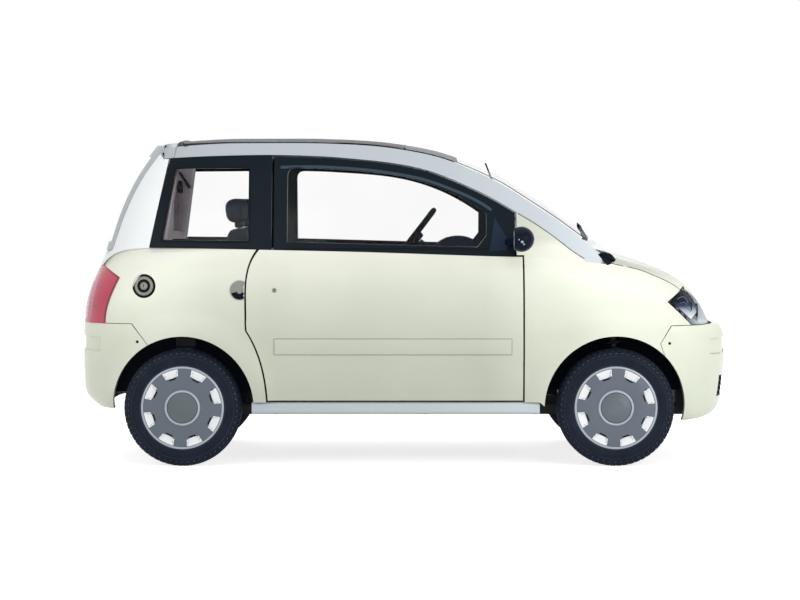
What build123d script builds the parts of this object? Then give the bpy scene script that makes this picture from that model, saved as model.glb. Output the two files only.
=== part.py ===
from build123d import *
import math
import os

# A two-seat microcar with a smooth composite body on a light frame, in millimetres.
# +X points forwards, +Y to the car's left and +Z up. The origin lies on the ground, at
# the centre of the car's bounding box. Each side piece is made on the right side
# (negative Y) and mirrored to the left.

# ---------------------------------------------------------------- driving dimensions
WHEELBASE = 1933.0
FRONT_AXLE_X = 939.0
REAR_AXLE_X = FRONT_AXLE_X - WHEELBASE
TYRE_RADIUS = 262.0
TYRE_WIDTH = 140.0
TYRE_BEAD_RADIUS = 166.0
TRACK_HALF = 632.0
ARCH_RADIUS = 319.0
FLARE_HEIGHT = 22.0
FLARE_START = 8.0
FLARE_FADE = 112.0
KINGPIN_Y = 520.0
SPINDLE_RADIUS = 17.0
SPINDLE_END_Y = 656.0

SHUT_GAP = 8.0  # round the doors and the tailgate
PANEL_GAP = 3.0  # between fixed panels
SEAT_GAP = 0.3  # between a piece and what carries it
FIT = 0.1  # round a pin or a spindle
WING_WALL = 22.0
REAR_WING_WALL = 60.0
DOOR_WALL = 55.0
FRAME_WALL = 36.0
PILLAR_WALL = 46.0
RAIL_WALL = 50.0
TAILGATE_WALL = 40.0
BONNET_WALL = 20.0
BUMPER_WALL = 26.0
GLASS_WALL = 6.0
GLASS_INSET = 10.0
ROOF_WALL = 26.0

SILL_BOTTOM = 234.0
SILL_TOP = 287.0
FRAME_TOP = 250.0  # top of the chassis rails, under the floor
FRAME_BOTTOM = 205.0
OUTRIGGER_BOTTOM = 236.0  # just above the sill's lower edge
REAR_OUTRIGGER_X = -560.0
FLOOR_WALL = 14.0
SHELF_Z = 500.0  # underside of the load floor
BUMPER_TOP = 622.0
REAR_BUMPER_TOP = 634.0
DOOR_BOTTOM = 295.0
TAILGATE_FRONT_X = -1094.0

DOOR_HINGE_X = 478.0
DOOR_HINGE_Y = 706.0
DOOR_HINGE_HEIGHTS = (480.0, 760.0)
INTAKE_Z, INTAKE_WIDTH, INTAKE_HEIGHT = 340.0, 760.0, 96.0
GRILLE_SLOTS = 4
GRILLE_PITCH = 22.0
BAND_DEPTH = 7.0
BONNET_HINGE_X = 1388.0
BONNET_HINGE_Y = 240.0
BONNET_HINGE_Z = 628.0
TAILGATE_HINGE_X = -1097.0
TAILGATE_HINGE_Y = 195.0
TAILGATE_HINGE_Z = 1442.0

HINGE_PIN_RADIUS = 4.0
HINGE_POCKET = 25.0  # half height of the pocket round a door hinge arm
HINGE_ARM = 36.0
FUEL_CAP_X, FUEL_CAP_Z, FUEL_CAP_RADIUS = -1168.0, 804.0, 53.0
HANDLE_X, HANDLE_Z, HANDLE_RADIUS = -738.0, 786.0, 45.0
WINDSCREEN_X = -6.0
WINDSCREEN_BASE_X = 905.0

RAIL_Y = 300.0
SILL_INNER_Y = 635.0
SILL_REAR_X, SILL_FRONT_X = -685.0, 599.0
REAR_CROSS_X, FRONT_CROSS_X = -1250.0, 1230.0
TOW_HOLE_RADIUS, LASHING_HOLE_RADIUS = 9.0, 10.0
EXHAUST_END_X = -1240.0
KNUCKLE_BOTTOM = 182.0
KNUCKLE_TOP = 345.0

TYRE_LIP = 10.0  # how far the bead face lies behind the tyre's widest point
COVER_RADIUS = 186.0
COVER_RIM = 12.0  # the cover's plain outer ring
COVER_NOTCHES = 8
COVER_NOTCH_TURN = 19.0
COVER_NOTCH_INNER = 129.0

WHEEL_CENTRE = (34.0, 300.0, 1003.0)
WHEEL_TILT = math.radians(37.3)
COLUMN_AXIS = (-math.cos(WHEEL_TILT), 0.0, math.sin(WHEEL_TILT))

FAR = 900.0  # reach of a cutting prism past the body's side


# ------------------------------------------------------------------ smooth profiles
def curve(table):
    """A smooth monotone curve through (position, value) pairs."""
    xs = [p[0] for p in table]
    ys = [p[1] for p in table]
    last = len(xs) - 1
    rise = [(ys[i + 1] - ys[i]) / (xs[i + 1] - xs[i]) for i in range(last)]
    slope = [rise[0]] + [0.0] * (last - 1) + [rise[-1]]
    for i in range(1, last):
        if rise[i - 1] * rise[i] > 0:
            slope[i] = 2 * rise[i - 1] * rise[i] / (rise[i - 1] + rise[i])

    def value(x):
        x = min(max(x, xs[0]), xs[-1])
        i = max(k for k in range(last) if xs[k] <= x)
        h = xs[i + 1] - xs[i]
        t = (x - xs[i]) / h
        ends = ys[i] * (1 + 2 * t) * (1 - t) ** 2 + ys[i + 1] * t * t * (3 - 2 * t)
        return ends + h * (slope[i] * t * (1 - t) ** 2 + slope[i + 1] * t * t * (t - 1))

    return value


def ease(t):
    t = min(1.0, max(0.0, t))
    return t * t * (3 - 2 * t)


# Height to centreline reach forwards, reach rearwards and half width.
nose = curve([(180, 1395), (250, 1420), (420, 1434), (560, 1425), (629, 1402), (712, 1364),
              (766, 1321), (821, 1262), (876, 1162), (904, 1086), (931, 1005), (950, 925),
              (965, 850), (990, 760)])
tail = curve([(180, 1372), (245, 1400), (272, 1440), (300, 1463), (350, 1477), (500, 1480),
              (629, 1476), (712, 1466), (794, 1444), (849, 1422), (904, 1394), (958, 1374),
              (990, 1364)])
side = curve([(180, 676), (230, 689), (300, 703), (400, 714), (550, 722), (700, 722),
              (800, 717), (870, 706), (930, 684), (962, 668), (990, 660)])
nose_corner = curve([(180, 4.0), (650, 4.0), (945, 6.0), (990, 6.0)])
bumper_nose = curve([(190, 1380), (205, 1415), (225, 1440), (260, 1457), (330, 1470),
                     (420, 1477), (500, 1480), (560, 1477), (600, 1467), (622, 1450), (640, 1435)])
upper_side = curve([(880, 680), (935, 671), (962, 664), (1000, 657), (1100, 637), (1200, 613),
                    (1300, 588), (1400, 560), (1490, 532)])
upper_tail = curve([(880, 1402), (904, 1394), (958, 1374), (1041, 1348), (1123, 1322), (1205, 1289),
                    (1288, 1246), (1370, 1193), (1425, 1152), (1490, 1090)])
UPPER_NOSE = 1060.0

# Along the car: the top and bottom edges of the side rail, and the roof's crown.
rail_top = curve([(-1300, 1396), (-1117, 1421), (-950, 1435), (-771, 1443), (-474, 1444),
                  (-300, 1440), (-145, 1431), (-6, 1413), (147, 1381), (242, 1347), (325, 1311),
                  (433, 1258), (540, 1189), (612, 1142), (684, 1093), (755, 1040), (863, 957),
                  (960, 880), (1060, 800)])
rail_bottom = curve([(-1120, 1374), (-900, 1385), (-706, 1390), (-609, 1391), (-400, 1386),
                     (-222, 1373), (-67, 1356), (88, 1325), (243, 1267), (398, 1192), (491, 1137),
                     (603, 1066), (758, 953), (812, 909), (900, 840)])
roof_crown = curve([(-1300, 20), (-1150, 26), (-1000, 32), (-200, 32), (150, 36), (400, 50),
                    (600, 60), (1060, 62)])

# The crease where the bonnet meets the wing, and the door's window, seen from the side.
crease = curve([(840, 925), (890, 914), (940, 902), (1046, 878), (1126, 847), (1203, 811),
                (1240, 785), (1300, 740)])
belt = curve([(-1150, 974), (-900, 971), (-651, 966), (-200, 956), (522, 934), (700, 932)])
window_top = curve([(-600, 1331), (-492, 1331), (-222, 1318), (-67, 1302), (88, 1267),
                    (243, 1201), (320, 1158), (362, 1128)])
DOOR_REAR_X = -588.0
PILLAR_FRONT_X = DOOR_REAR_X - 11.0
FRAME_FRONT_X = 489.0
DOOR_FRONT_X = 522.0
WINDOW_REAR_X = -528.0
WINDOW_FRONT_X = 362.0
POST_X = DOOR_FRONT_X + 2 + SHUT_GAP
POST_TOP = 884.0


# -------------------------------------------------------------------- body surfaces
def flare(x, z):
    """How far the wheel-arch flares push the skin outwards."""
    lift = 0.0
    for axle in (FRONT_AXLE_X, REAR_AXLE_X):
        reach = math.hypot(x - axle, z - TYRE_RADIUS) - ARCH_RADIUS - FLARE_START
        lift = max(lift, FLARE_HEIGHT * (1 - ease(reach / FLARE_FADE)))
    return lift


def outline(front, rear, width, corner_front, corner_rear, count):
    """Half a rounded plan outline, from the front centre round the side to the rear centre."""
    fine = 600
    points = []
    for i in range(fine + 1):
        angle = math.pi * i / fine
        reach, power = (front, corner_front) if 2 * i < fine else (rear, corner_rear)
        c, s = abs(math.cos(angle)), math.sin(angle)
        radius = (c**power + s**power) ** (-1 / power)
        points.append((math.copysign(reach * radius * c, math.cos(angle)), width * radius * s))
    length = [0.0]
    for p, q in zip(points, points[1:]):
        length.append(length[-1] + math.dist(p, q))
    spaced, k = [], 0
    for j in range(count):
        want = length[-1] * j / (count - 1)
        while k < fine - 1 and length[k + 1] < want:
            k += 1
        t = (want - length[k]) / (length[k + 1] - length[k])
        spaced.append(tuple(points[k][a] + t * (points[k + 1][a] - points[k][a]) for a in (0, 1)))
    return spaced


def half_hull(levels, ring):
    """The right half of a closed body, from ring(z), its plan outline at each level."""
    grid = []
    for z in levels:
        points = ring(z)
        points[0], points[-1] = (points[0][0], 0.0), (points[-1][0], 0.0)
        grid.append([Vector(x, -y, z) for x, y in points])
    skin = Face.make_surface_from_array_of_points(grid, tol=0.05, min_deg=3, max_deg=3)
    faces = [skin]
    mid_lines = []
    for row, z in ((grid[0], levels[0]), (grid[-1], levels[-1])):
        rim = [e for e in skin.edges() if abs((e @ 0).Z - z) < 1e-3 and abs((e @ 1).Z - z) < 1e-3]
        mid_lines.append(Edge.make_line(row[0], row[-1]))
        faces.append(Face(Wire(rim + [Edge.make_line(rim[0] @ 0, rim[0] @ 1)])))
    ends = [e for e in skin.edges() if abs((e @ 0).Y) + abs((e @ 1).Y) + abs((e @ 0.5).Y) < 1e-3]
    faces.append(Face(Wire(ends + mid_lines)))
    return Solid(Shell(faces))


LOWER_LEVELS = [190, 225, 262, 300, 340, 380, 420, 460, 500, 540, 580, 620, 660, 700, 740, 775,
                805, 832, 856, 878, 898, 915, 930, 944, 957, 970, 985]
UPPER_LEVELS = [885, 920, 960, 1010, 1060, 1120, 1180, 1240, 1300, 1350, 1400, 1440, 1480]
BUMPER_LEVELS = [192, 205, 225, 260, 330, 420, 500, 560, 600, 622, 640]
made = {}


def lower(inset, flared=False):
    """The right half of the body below the windows, inset mm inside its skin."""
    if ("lower", inset, flared) not in made:

        def ring(z):
            points = outline(nose(z) - inset, tail(z) - inset, side(z) - inset,
                             nose_corner(z), 5.0, 90 if flared else 44)
            if flared:
                points = [(x, y + flare(x, z) * ease(y / 400)) for x, y in points]
            return points

        levels = LOWER_LEVELS if flared else LOWER_LEVELS[::2]
        made["lower", inset, flared] = half_hull(levels, ring)
    return made["lower", inset, flared]


def bumper_hull(inset, flared=False):
    if ("bumper", inset, flared) not in made:

        def ring(z):
            points = outline(bumper_nose(z) - inset, tail(z) - inset, side(z) - inset, 3.7, 5.0, 90)
            if flared:
                points = [(x, y + flare(x, z) * ease(y / 400)) for x, y in points]
            return points

        made["bumper", inset, flared] = half_hull(BUMPER_LEVELS, ring)
    return made["bumper", inset, flared]


def upper(inset):
    """The right half of the window band, with an upright front that the roof cuts off."""
    if ("upper", inset) not in made:

        def ring(z):
            return outline(UPPER_NOSE - inset, upper_tail(z) - inset, upper_side(z) - inset,
                           6.0, 6.0, 48)

        made["upper", inset] = half_hull(UPPER_LEVELS, ring)
    return made["upper", inset]


def roof_height(x, y):
    edge = upper_side(rail_top(x))
    return rail_top(x) + roof_crown(x) * (1 - (y / edge) ** 2)


def below_roof(drop):
    """Everything under the roof and windscreen surface, lowered by drop."""
    if ("roof", drop) not in made:
        xs = [-1450 + 2520 * i / 54 for i in range(55)]
        ys = [-720 + 1440 * j / 16 for j in range(17)]
        grid = [[Vector(x, y, roof_height(x, y) - drop) for x in xs] for y in ys]
        top = Face.make_surface_from_array_of_points(grid, tol=0.05, min_deg=3, max_deg=3)
        made["roof", drop] = extrude(top, amount=1300, dir=(0, 0, -1))
    return made["roof", drop]


# ------------------------------------------------------------------ cutting regions
def side_region(wire, inner=0.0, outer=FAR):
    """A region drawn from the right side, pushed through the car's right half."""
    return extrude(Plane.XZ.offset(inner) * make_face(wire), amount=outer - inner)


def sampled(profile, start, end, count, shift=0.0):
    """Points along a side profile."""
    step = (end - start) / (count - 1)
    return [(start + i * step, profile(start + i * step) + shift) for i in range(count)]


def path(*pieces):
    """A closed wire: a list of points is a spline, and gaps are closed by lines."""
    edges, cursor, first = [], None, None
    for piece in pieces:
        points = [piece] if isinstance(piece, tuple) else list(piece)
        if first is None:
            first = points[0]
        elif math.dist(cursor, points[0]) > 1e-6:
            edges.append(Line(cursor, points[0]))
        if len(points) > 1:
            edges.append(Spline(*points))
        cursor = points[-1]
    if math.dist(cursor, first) > 1e-6:
        edges.append(Line(cursor, first))
    return Curve() + edges


def arch(axle_x, radius, inner=0.0, outer=FAR):
    centre = Location((axle_x, -(inner + outer) / 2, TYRE_RADIUS), (90, 0, 0))
    return centre * Cylinder(radius, outer - inner)


def mirrored(shape):
    return mirror(shape, Plane.XZ)


def both(shape):
    """A right-hand piece and its mirror image, as two solids of one node."""
    return Compound(list(shape.solids()) + list(mirrored(shape).solids()))


def across(shape):
    """A right half that meets the centreline, joined to its mirror image."""
    return shape + mirrored(shape)


# ----------------------------------------------------------------- side view outlines
def door_panel_wire(shrink=0.0):
    """The door below the belt. shrink makes it smaller all round."""
    s = shrink
    low_rear = [(-613 + s, DOOR_BOTTOM + s), (-627 + s, 405), (-666 + s, 532), (-706 + s, 606)]
    upper_rear = [(-708 + s, 640), (-708 + s, 800), (-697 + s, 880), (-652 + s, 966 - s)]
    front_x = DOOR_FRONT_X - s
    front = [(front_x, 933 - s), (front_x + 2, 700), (front_x + 2, DOOR_BOTTOM + s)]
    return path(low_rear, upper_rear,
                sampled(belt, -652 + s, DOOR_FRONT_X - s, 6, -s), front)


def window_wire(grow=0.0):
    """The door's window opening."""
    g = grow
    return path((WINDOW_REAR_X - g, 1001 - g), (WINDOW_REAR_X - g, 1290),
                [(WINDOW_REAR_X - g, 1290), (WINDOW_REAR_X + 10 - g, 1322 + g),
                 (WINDOW_REAR_X + 42, 1331 + g)],
                sampled(window_top, WINDOW_REAR_X + 42, WINDOW_FRONT_X + g, 9, g)[1:],
                (WINDOW_FRONT_X + g, 1030), (322 + g, 978 - g))


def frame_wire(grow=0.0):
    """The door's window frame, outside edge."""
    g = grow
    return path((DOOR_REAR_X - g, belt(DOOR_REAR_X) + SEAT_GAP),
                sampled(rail_bottom, DOOR_REAR_X - g, FRAME_FRONT_X + g, 12, g - SHUT_GAP),
                sampled(belt, FRAME_FRONT_X + g, DOOR_REAR_X - g, 6, SEAT_GAP))


def side_window_wire(shrink=0.0):
    s = shrink
    return path((-1088 + s, 1010 + s), (-1030 + s, 1328 - s), (-702 - s, 1331 - s), (-702 - s, 1006 + s))


def black_band_wire():
    """The black surround of the rear side window with the pillar behind the door."""
    return path((-1147, belt(-1147) + SEAT_GAP),
                sampled(rail_bottom, -1058, PILLAR_FRONT_X, 5, -SEAT_GAP),
                sampled(belt, PILLAR_FRONT_X, -1147, 5, SEAT_GAP))


def tailgate_wire(grow=0.0):
    """The tailgate seen from behind, right half, in (-Y, Z)."""
    g = grow
    return path((-30, 645 - g), (345 + g, 645 - g), (352 + g, 800),
                [(352 + g, 800), (366 + g, 872), (430 + g, 925), (500 + g, 968)],
                (482 + g, 1150), (455 + g, 1330), (438 + g, 1452 + g), (-30, 1452 + g))


def from_behind(wire, front=TAILGATE_FRONT_X, back=-1600.0):
    plane = Plane(origin=(back, 0, 0), x_dir=(0, -1, 0), z_dir=(-1, 0, 0))
    return extrude(plane * make_face(wire), amount=back - front)


def tailgate_gap():
    """The tailgate's opening in the body."""
    return from_behind(tailgate_wire(SHUT_GAP), TAILGATE_FRONT_X + SHUT_GAP)


def headlamp_region(grow=0.0):
    g = grow
    seen_side = path((1180 - 1.4 * g, 731), (1252, 786 + 1.3 * g), (1290, 830), (1480, 830),
                     (1480, BUMPER_TOP + 3 - g),
                     (1297 - g, BUMPER_TOP + 3 - g), (1240 - g, 680 - g))
    seen_front = path((300 - g, BUMPER_TOP + 3 - g), (700, BUMPER_TOP + 3 - g), (700, 830), (520, 800 + g),
                      [(520, 800 + g), (430 - g, 752 + g), (345 - g, 690 + g), (300 - g, 640 + g)])
    plane = Plane(origin=(1100, 0, 0), x_dir=(0, -1, 0), z_dir=(-1, 0, 0))
    front_prism = extrude(plane * make_face(seen_front), amount=-500)
    return side_region(seen_side) & front_prism


def tail_lamp_region(grow=0.0):
    g = grow
    return side_region(path((-1362 - g, 892 + g), (-1281 + g, 841 + g),
                            [(-1281 + g, 841 + g), (-1316 + g, 770), (-1340 + g, 700),
                             (-1348 + g, REAR_BUMPER_TOP + SEAT_GAP)],
                            (-1520, REAR_BUMPER_TOP + SEAT_GAP), (-1520, 892 + g)), 330, FAR)


def front_bumper_region(grow=0.0):
    g = grow
    return side_region(path((1250, 150), (1253, 240), (1143 - g, 545),
                            (1196 - g, BUMPER_TOP + g), (1560, BUMPER_TOP + g),
                            (1560, 150)), 0, FAR)


def rear_bumper_region(grow=0.0):
    g = grow
    return side_region(path((-1286 + g, 150), (-1286 + g, 262), (-1140 + g, 530),
                            (-1226 + g, REAR_BUMPER_TOP + g),
                            (-1560, REAR_BUMPER_TOP + g), (-1560, 150)), 0, FAR)


# ------------------------------------------------------------------------ body panels
def doors():
    panel = (lower(0, True) & side_region(door_panel_wire())) - lower(DOOR_WALL)
    for z in DOOR_HINGE_HEIGHTS:
        panel -= Pos(DOOR_HINGE_X + 21, -DOOR_HINGE_Y + 44, z) * Box(62, 105, 2 * HINGE_POCKET)
        panel += Pos(DOOR_HINGE_X, -DOOR_HINGE_Y, z) * Cylinder(HINGE_PIN_RADIUS, 2 * HINGE_POCKET + 8)
    frame = (upper(0) - upper(FRAME_WALL)) & side_region(frame_wire())
    frame -= side_region(window_wire())
    glass = (upper(GLASS_INSET) - upper(GLASS_INSET + GLASS_WALL)) & side_region(window_wire(-SEAT_GAP))
    return panel, frame, glass


def door_hinge_arms():
    """Goosenecks from the front post round the door's leading edge to the hinge pins."""
    arms = []
    for z in DOOR_HINGE_HEIGHTS:
        eye = Pos(DOOR_HINGE_X, -DOOR_HINGE_Y, z) * Cylinder(HINGE_PIN_RADIUS + 3, HINGE_ARM)
        neck = Pos(DOOR_HINGE_X, -DOOR_HINGE_Y + 24, z) * Box(8, 48, HINGE_ARM)
        reach = Pos(DOOR_HINGE_X + 32, -DOOR_HINGE_Y + 44, z) * Box(72, 8, HINGE_ARM)
        bore = Pos(DOOR_HINGE_X, -DOOR_HINGE_Y, z) * Cylinder(HINGE_PIN_RADIUS + FIT, HINGE_ARM + 2)
        arms.append(eye + neck + reach - bore)
    return arms


def door_mirror():
    """A round-nosed housing, flat behind for the mirror glass, on a stalk."""
    length, radius = 66.0, 56.0
    turns = [math.pi * i / 12 for i in range(13)]
    dome = [(length * math.cos(turn), radius * math.sin(turn)) for turn in turns]
    bulb = revolve(make_face(path(dome, (-length, 0))), Axis.X)
    bulb = Pos(512, -808, 1015) * Rot(0, 0, 90) * bulb
    bulb -= Pos(512 - 34 - 50, -808, 1015) * Box(100, 200, 200)
    reach = Plane(origin=(462, -640, 1000), x_dir=(1, 0, 0), z_dir=(0.25, -1, 0.05))
    stalk = extrude(reach * RectangleRounded(46, 30, 10), amount=150) - upper(-SEAT_GAP)
    return bulb + main_piece(stalk)


def shoulder(lift=0.0):
    """Where the rear pillar stands on the rear wing."""
    points = [(-1147, belt(-1147)), (-1240, 966), (-1310, 946), (-1352, 916), (-1378, 885)]
    return [(x, z + lift) for x, z in points]


def rear_wings():
    region = side_region(path((-600, SILL_TOP), sampled(belt, -600, -1147, 6), shoulder(),
                              (-1560, 800), (-1560, 200), (-900, 200), (-684, SILL_TOP)))
    wing = (lower(0, True) - lower(REAR_WING_WALL)) & region
    wing -= side_region(door_panel_wire(-SHUT_GAP))
    wing -= arch(REAR_AXLE_X, ARCH_RADIUS)
    wing -= rear_bumper_region(PANEL_GAP)
    wing -= tail_lamp_region(SEAT_GAP)
    wing -= tailgate_gap()
    wing -= Pos(HANDLE_X, -735, HANDLE_Z) * Rot(90, 0, 0) * Cylinder(HANDLE_RADIUS, 60)
    plain = main_piece(wing)
    cap_hole = Pos(FUEL_CAP_X, -690, FUEL_CAP_Z) * Rot(90, 0, 0) * Cylinder(FUEL_CAP_RADIUS + SEAT_GAP, 120)
    return Compound([main_piece(plain - cap_hole), mirrored(plain)])


def main_piece(shape):
    """The largest solid of a cut, without slivers beside it."""
    return max(shape.solids(), key=lambda s: s.volume)


def fuel_cap():
    cap = Pos(FUEL_CAP_X, -680, FUEL_CAP_Z) * Rot(90, 0, 0) * Cylinder(FUEL_CAP_RADIUS, 90)
    return main_piece(cap & lower(5))


def rear_pillars():
    region = side_region(path(shoulder(SEAT_GAP), (-1500, 885), (-1500, 1452), (-1126, 1452), (-1126, 1421),
                              (-1094, 1376), (-1066, rail_bottom(-1066) - SEAT_GAP),
                              (-1147 - SEAT_GAP, belt(-1147) + 8)))
    pillar = (upper(0) - upper(PILLAR_WALL)) & region & below_roof(0)
    return main_piece(pillar - tailgate_gap() - rail_region(PANEL_GAP) - tail_lamp_region(PANEL_GAP))


def side_windows():
    band = (upper(0) - upper(PILLAR_WALL)) & side_region(black_band_wire())
    band -= side_region(side_window_wire())
    glass = (upper(GLASS_INSET) - upper(GLASS_INSET + GLASS_WALL)) & side_region(side_window_wire(SEAT_GAP))
    return band, glass


def rail_region(grow=0.0):
    g = grow
    return side_region(path((-1088 - g, rail_bottom(-1088) - g), sampled(rail_top, -1120, 882, 26, g),
                            (903 + g, 925), (893 + g, 902 - g), sampled(rail_bottom, 806, -1088 - g, 24, -g)))


def roof_rail():
    rail = (upper(0) - upper(RAIL_WALL)) & rail_region()
    rail -= side_region(cowl_end_wire(SEAT_GAP))
    return main_piece(rail - tailgate_gap())


def roof_panel():
    slab = below_roof(0) - below_roof(ROOF_WALL)
    span = lengthwise(TAILGATE_FRONT_X + SHUT_GAP, WINDSCREEN_X - PANEL_GAP)
    roof = across(main_piece(slab & upper(RAIL_WALL + SEAT_GAP) & span))
    for y in (-TAILGATE_HINGE_Y, TAILGATE_HINGE_Y):
        arm = Pos(TAILGATE_HINGE_X + 14, y, TAILGATE_HINGE_Z - 8) * Box(34, 12, 12)
        roof += arm + Pos(TAILGATE_HINGE_X, y, TAILGATE_HINGE_Z) * Rot(90, 0, 0) * Cylinder(3, 44)
    return roof


def lengthwise(rear, front):
    """The right half of space between two cross sections."""
    return Pos((rear + front) / 2, -FAR / 2, FAR) * Box(front - rear, FAR, 2 * FAR)


def windscreen():
    slab = below_roof(1.0) - below_roof(1.0 + GLASS_WALL * 1.4)
    glass = slab & upper(RAIL_WALL + SEAT_GAP) & lengthwise(WINDSCREEN_X, WINDSCREEN_BASE_X)
    return across(main_piece(glass))


def front_wings():
    low = side_region(path((DOOR_FRONT_X + 2 + SHUT_GAP, SILL_TOP), (DOOR_FRONT_X + 2 + SHUT_GAP, 700),
                           (DOOR_FRONT_X + SHUT_GAP, 936), (812, 936),
                           sampled(crease, 880, 1240, 9, -PANEL_GAP), (1420, 640), (1500, 300),
                           (1300, 200), (700, 200), (599, SILL_TOP)))
    wing = (lower(0, True) - lower(WING_WALL)) & low
    wing -= arch(FRONT_AXLE_X, ARCH_RADIUS)
    wing -= headlamp_region(PANEL_GAP)
    wing -= front_bumper_region(PANEL_GAP)
    wing = main_piece(wing - rail_region(SEAT_GAP) - side_region(cowl_end_wire(SEAT_GAP)))
    rear = FRAME_FRONT_X + SHUT_GAP
    corner = side_region(path((rear, belt(rear) + SHUT_GAP), sampled(rail_bottom, rear, 800, 8, -SEAT_GAP),
                              (812, 900), (DOOR_FRONT_X + SHUT_GAP, 900),
                              (DOOR_FRONT_X + SHUT_GAP, belt(rear) + SHUT_GAP)))
    gusset = ((upper(0) - upper(WING_WALL + 8)) & corner) - rail_region(SEAT_GAP)
    return main_piece(wing + gusset)


def bonnet():
    """A front-hinged lid with its hinge knuckles under the front lip."""
    lip = BUMPER_TOP + 12
    above = side_region(path(sampled(crease, 912, 1240, 9), (1262, 800), (1300, 640), (1290, lip),
                             (1520, lip), (1520, 1000), (912, 1000)), 0, FAR)
    skin = (lower(0) - lower(BONNET_WALL)) & above
    skin -= headlamp_region(PANEL_GAP + 2)
    skin -= side_region(cowl_end_wire(PANEL_GAP))
    lid = across(main_piece(skin))
    for y in (-BONNET_HINGE_Y, BONNET_HINGE_Y):
        lid -= Pos(BONNET_HINGE_X, y + math.copysign(18, y), lip) * Box(60, 22, 22)
        neck_height = lip + 8 - BONNET_HINGE_Z
        neck = Pos(BONNET_HINGE_X, y, BONNET_HINGE_Z + neck_height / 2) * Box(10, 14, neck_height)
        knuckle_tube = Pos(BONNET_HINGE_X, y, BONNET_HINGE_Z) * Rot(90, 0, 0) * Cylinder(5.5, 14)
        pin_y = y + math.copysign(11, y)
        pin = Pos(BONNET_HINGE_X, pin_y, BONNET_HINGE_Z) * Rot(90, 0, 0) * Cylinder(3, 36)
        lid += neck + knuckle_tube + pin
    return lid


def cowl_end_wire(grow=0.0):
    """The lens-shaped end of the scuttle, between the side rail and the bonnet."""
    middle_x, middle_z = 901.0, 925.0
    swell = 1 + grow / 22
    top = [(861, 946), (886, 950), (917, 941), (940, 922)]
    low = [(940, 922), (926, 908), (900, 897)]

    def grown(points):
        return [(middle_x + (x - middle_x) * swell, middle_z + (z - middle_z) * swell) for x, z in points]

    return path(grown(top), grown(low))


def scuttle():
    """The black panel at the foot of the windscreen, with its ends in the wings."""
    region = side_region(path((846, 880), (846, 985), (904, 985), (904, 880)), 0, FAR)
    plate = (lower(0) - lower(16)) & region & below_roof(GLASS_WALL * 1.4 + 1 + SEAT_GAP)
    plate = main_piece(plate & upper(RAIL_WALL + SEAT_GAP))
    end = (lower(0) - lower(RAIL_WALL + 30)) & side_region(cowl_end_wire(), 480, FAR)
    end -= below_roof(0) - below_roof(GLASS_WALL * 1.4 + 1 + SEAT_GAP)
    return across(plate + main_piece(end))


def tailgate():
    region = from_behind(tailgate_wire())
    low_side = side_region(path((-1600, 600), (-1600, 962), (-900, 962), (-900, 600)), -1, FAR)
    low_part = (lower(0) - lower(TAILGATE_WALL)) & region & low_side
    high = (upper(0) - upper(TAILGATE_WALL)) & region & below_roof(0)
    high_side = path((-1600, 962 + SEAT_GAP), (-1600, 1500), (-1000, 1500), (-1000, 962 + SEAT_GAP))
    high &= side_region(high_side, -1, FAR)
    light = path((-30, 1000), (455, 1000), (440, 1150), (412, 1330), (400, 1388), (-30, 1388))
    glass_region = path((-30, 1000.3), (454.7, 1000.3), (439.7, 1150), (411.7, 1330),
                        (399.7, 1387.7), (-30, 1387.7))
    frame = high - from_behind(light)
    glass = (upper(GLASS_INSET) - upper(GLASS_INSET + GLASS_WALL)) & from_behind(glass_region)
    glass &= below_roof(0)
    frame = across(main_piece(frame))
    for y in (-TAILGATE_HINGE_Y, TAILGATE_HINGE_Y):
        outboard = math.copysign(15, y)
        eye = Pos(TAILGATE_HINGE_X, y + outboard, TAILGATE_HINGE_Z) * Rot(90, 0, 0) * Cylinder(6, 12)
        lug = Pos(TAILGATE_HINGE_X - 12, y + outboard, TAILGATE_HINGE_Z - 6) * Box(24, 12, 10)
        frame += eye + lug
    for y in (-TAILGATE_HINGE_Y, TAILGATE_HINGE_Y):
        frame -= Pos(TAILGATE_HINGE_X, y, TAILGATE_HINGE_Z) * Rot(90, 0, 0) * Cylinder(3 + FIT, 50)
        frame -= Pos(TAILGATE_HINGE_X + 4, y, TAILGATE_HINGE_Z - 10) * Box(24, 18, 60)
    return across(main_piece(low_part)), main_piece(frame), across(main_piece(glass))


def bumper_band(start_x, middle_z, height, skin, inner):
    """A shallow step round a bumper's end; start_x is where it begins on the side."""
    reach = math.copysign(FAR, start_x)
    span = Pos(start_x + reach / 2, -FAR / 2, middle_z) * Box(FAR, FAR, height)
    return (skin - inner) & span


def front_bumper():
    skin = (bumper_hull(0, True) - bumper_hull(BUMPER_WALL)) & front_bumper_region()
    skin -= arch(FRONT_AXLE_X, ARCH_RADIUS)
    skin -= Pos(1400, 0, INTAKE_Z) * Box(260, INTAKE_WIDTH, INTAKE_HEIGHT)
    skin -= bumper_band(1376, 525, 70, bumper_hull(0, True), bumper_hull(BAND_DEPTH))
    return across(main_piece(skin))


def front_grille():
    fit = 2 * SEAT_GAP
    opening = Pos(1400, 0, INTAKE_Z) * Box(260, INTAKE_WIDTH - fit, INTAKE_HEIGHT - fit)
    grille = (bumper_hull(3) - bumper_hull(12)) & opening
    for i in range(GRILLE_SLOTS):
        z = INTAKE_Z + (i - (GRILLE_SLOTS - 1) / 2) * GRILLE_PITCH
        for y in (-93, -280):
            grille -= Pos(1400, y, z) * Box(260, 164, GRILLE_PITCH - 9)
    return across(main_piece(grille))


def rear_bumper():
    skin = (lower(0, True) - lower(BUMPER_WALL)) & rear_bumper_region()
    skin &= Pos(-1300, 0, 500) * Box(600, 2000, 2 * (500 - 250))
    skin -= arch(REAR_AXLE_X, ARCH_RADIUS)
    skin -= bumper_band(-1370, 540, 64, lower(0, True), lower(BAND_DEPTH))
    return across(main_piece(skin))


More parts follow.
